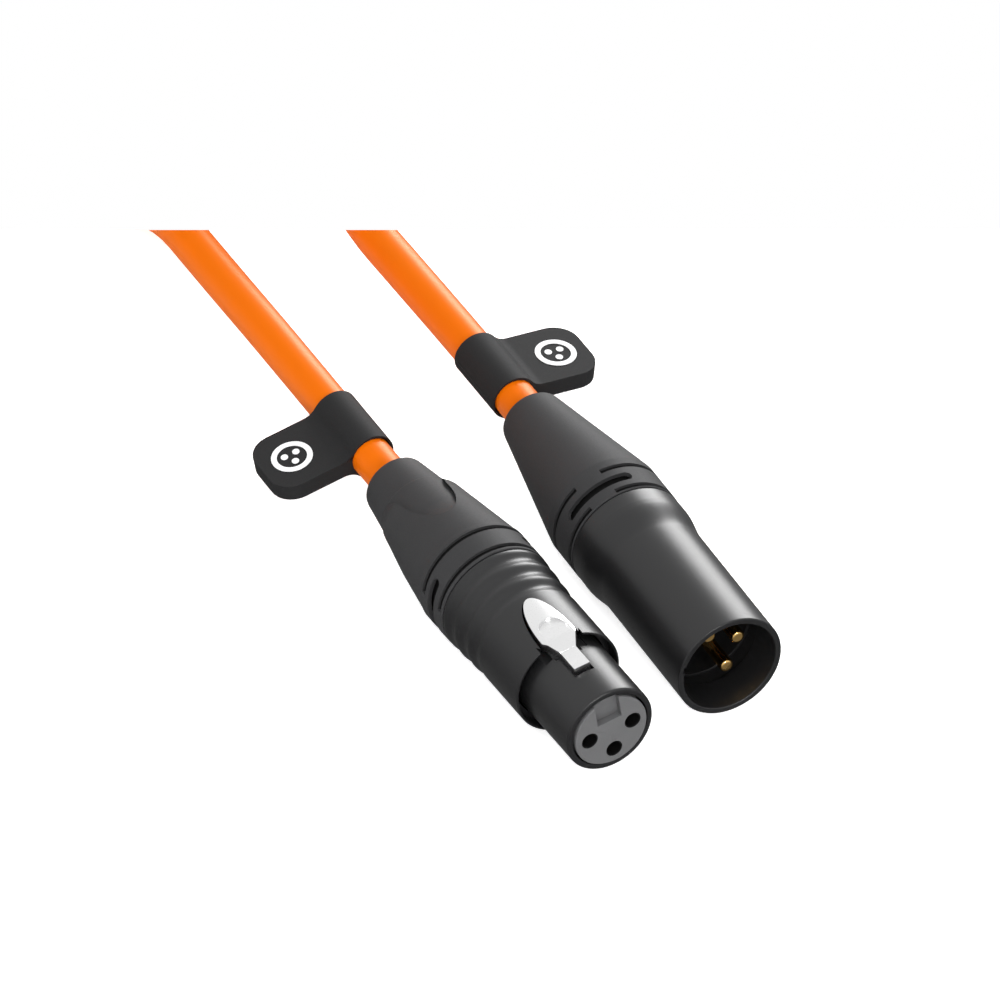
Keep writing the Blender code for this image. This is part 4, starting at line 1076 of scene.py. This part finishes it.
class CABLE_OT_tags(Operator):
    """A rubber tag on each lead: a ring with a flag, and a printed ring and dots on the flag"""

    bl_idname = "cable.tags"
    bl_label = "Tags"

    def execute(self, context):
        sizes = context.scene.tag_sizes
        cord = context.scene.cable_sizes.cord_diameter / 2 / MM
        for prefix, toward in (("female", 190.3), ("male", -5.5)):
            joint = next(j for j in frame["joints"] if j["name"] == prefix + "_tag_turn")
            middle = Vector(joint["pos_m"])
            low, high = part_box(prefix + "_tag")
            # Drawn with the flag along +X and the cord along Z, then laid down and turned.
            lay = Matrix.Translation((middle.x, high[1], middle.z))
            lay = lay @ Matrix.Rotation(math.pi / 2, 4, "X")
            lay = lay @ Matrix.Rotation(math.radians(toward), 4, "Z")
            length = (high[1] - low[1]) / MM
            half = Matrix.Translation((0, 0, length * MM / 2))
            tag = slab(prefix + "_tag_fine", self.section(sizes, cord), length, half)
            corner = self.plan(sizes, length)
            across = Matrix(((1, 0, 0, 0), (0, 0, -1, 0), (0, 1, 0, 0), (0, 0, 0, 1)))
            combine(tag, slab("tag_plan", corner, 14.0, across), "INTERSECT")
            round_edges(tag, 0.75, 40, 4)
            combine(tag, cylinder("tag_bore", cord + 0.12, length + 8, half, 64))
            tidy(tag, 40)
            even_shading(tag)
            settle(tag, lay)
            hand_over(tag, prefix + "_tag", "tag_rubber", prefix + "_tag")
            self.badge(prefix, sizes, length, lay, toward)
        return {"FINISHED"}

    @staticmethod
    def section(sizes, cord):
        """The tag cut across the cord: a ring's outline that flows into the flag's bar."""
        ring = cord + sizes.wall / MM
        half, reach, fillet = sizes.thickness / MM / 2, sizes.reach / MM, sizes.fillet / MM
        across = math.sqrt((ring + fillet) ** 2 - (half + fillet) ** 2)
        touch = math.atan2(half + fillet, across)
        made = [(reach, half)]
        for k in range(9):
            angle = -math.pi / 2 - (math.pi / 2 - touch) * k / 8
            y = half + fillet + fillet * math.sin(angle)
            made.append((across + fillet * math.cos(angle), y))
        other_side = [(x, -y) for x, y in reversed(made)]
        steps = 44
        for k in range(1, steps):
            angle = touch + (2 * math.pi - 2 * touch) * k / steps
            made.append((ring * math.cos(angle), ring * math.sin(angle)))
        return made + other_side

    @staticmethod
    def plan(sizes, length):
        """The tag seen from above, with the flag's outer corners rounded."""
        reach, corner = sizes.reach / MM, sizes.corner / MM
        made = [(-9.0, 0.0)]
        for k, z in ((0, corner), (1, length - corner)):
            for step in range(10):
                angle = math.radians(-90 + 90 * k + 10 * step)
                x = reach - corner + corner * math.cos(angle)
                made.append((x, z + corner * math.sin(angle)))
        return made + [(-9.0, length)]

    @staticmethod
    def badge(prefix, sizes, length, lay, toward):
        """A thin printed ring round three dots, on the flag's upper side."""
        up = 1 if math.cos(math.radians(toward)) > 0 else -1
        rise = up * (sizes.thickness / MM / 2 + 0.03)
        radius = sizes.badge / MM
        centre = Matrix.Translation(Vector((11.3, rise, length / 2)) * MM)
        centre = centre @ Matrix.Rotation(math.pi / 2, 4, "X")
        print_ring = cylinder(prefix + "_badge", radius, 0.16, centre, 72)
        combine(print_ring, cylinder("ring_hole", radius - 0.95, 1.0, centre, 72))
        for k in range(3):
            spot = centre @ on_circle(90 + 120 * k, 1.25 * MM)
            combine(print_ring, cylinder("dot", 0.62, 0.16, spot, 32), "UNION")
        tidy(print_ring)
        settle(print_ring, lay)
        hand_over(print_ring, prefix + "_tag", "white_wire", finish="white_print")


class CABLE_OT_inner_parts(Operator):
    """Finishes of the parts that keep their plain shape: contacts, clips, wires, chucks and nuts"""

    bl_idname = "cable.inner_parts"
    bl_label = "Inner parts"

    def execute(self, context):
        slots = {part["node"]: part["material_slot"] for part in RECORD["subparts"]}
        for name, node in NODES.items():
            node.data.materials.clear()
            node.data.materials.append(FINISHES[slots[name]])
        return {"FINISHED"}


class CABLE_PT_panel(Panel):
    """Lists the pieces and their sizes"""

    bl_idname = "CABLE_PT_panel"
    bl_label = "Microphone cable"
    bl_space_type = "VIEW_3D"
    bl_region_type = "UI"
    bl_category = "Cable"

    def draw(self, context):
        for step in STEPS:
            self.layout.operator(step.bl_idname)
        for group in ("cable_sizes", "connector_sizes", "tag_sizes", "cable_colours"):
            values = getattr(context.scene, group)
            column = self.layout.column(align=True)
            for name in values.bl_rna.properties.keys():
                if name not in ("rna_type", "name"):
                    column.prop(values, name)


STEPS = (
    CABLE_OT_stage,
    CABLE_OT_inner_parts,
    CABLE_OT_cord,
    CABLE_OT_tie,
    CABLE_OT_female_shell,
    CABLE_OT_female_front,
    CABLE_OT_latch,
    CABLE_OT_boots,
    CABLE_OT_male_connector,
    CABLE_OT_tags,
)
GROUPS = {
    "cable_sizes": CableSizes,
    "connector_sizes": ConnectorSizes,
    "tag_sizes": TagSizes,
    "cable_colours": CableColours,
}


def register():
    for group in (*GROUPS.values(), *STEPS, CABLE_PT_panel):
        bpy.utils.register_class(group)
    for name, group in GROUPS.items():
        setattr(bpy.types.Scene, name, PointerProperty(type=group))


def unregister():
    for name in GROUPS:
        delattr(bpy.types.Scene, name)
    for group in reversed((*GROUPS.values(), *STEPS, CABLE_PT_panel)):
        bpy.utils.unregister_class(group)


def main():
    register()
    mix_finishes()
    for step in STEPS:
        family, name = step.bl_idname.split(".")
        getattr(getattr(bpy.ops, family), name)()
    bpy.context.view_layer.update()


if __name__ == "__main__":
    main()
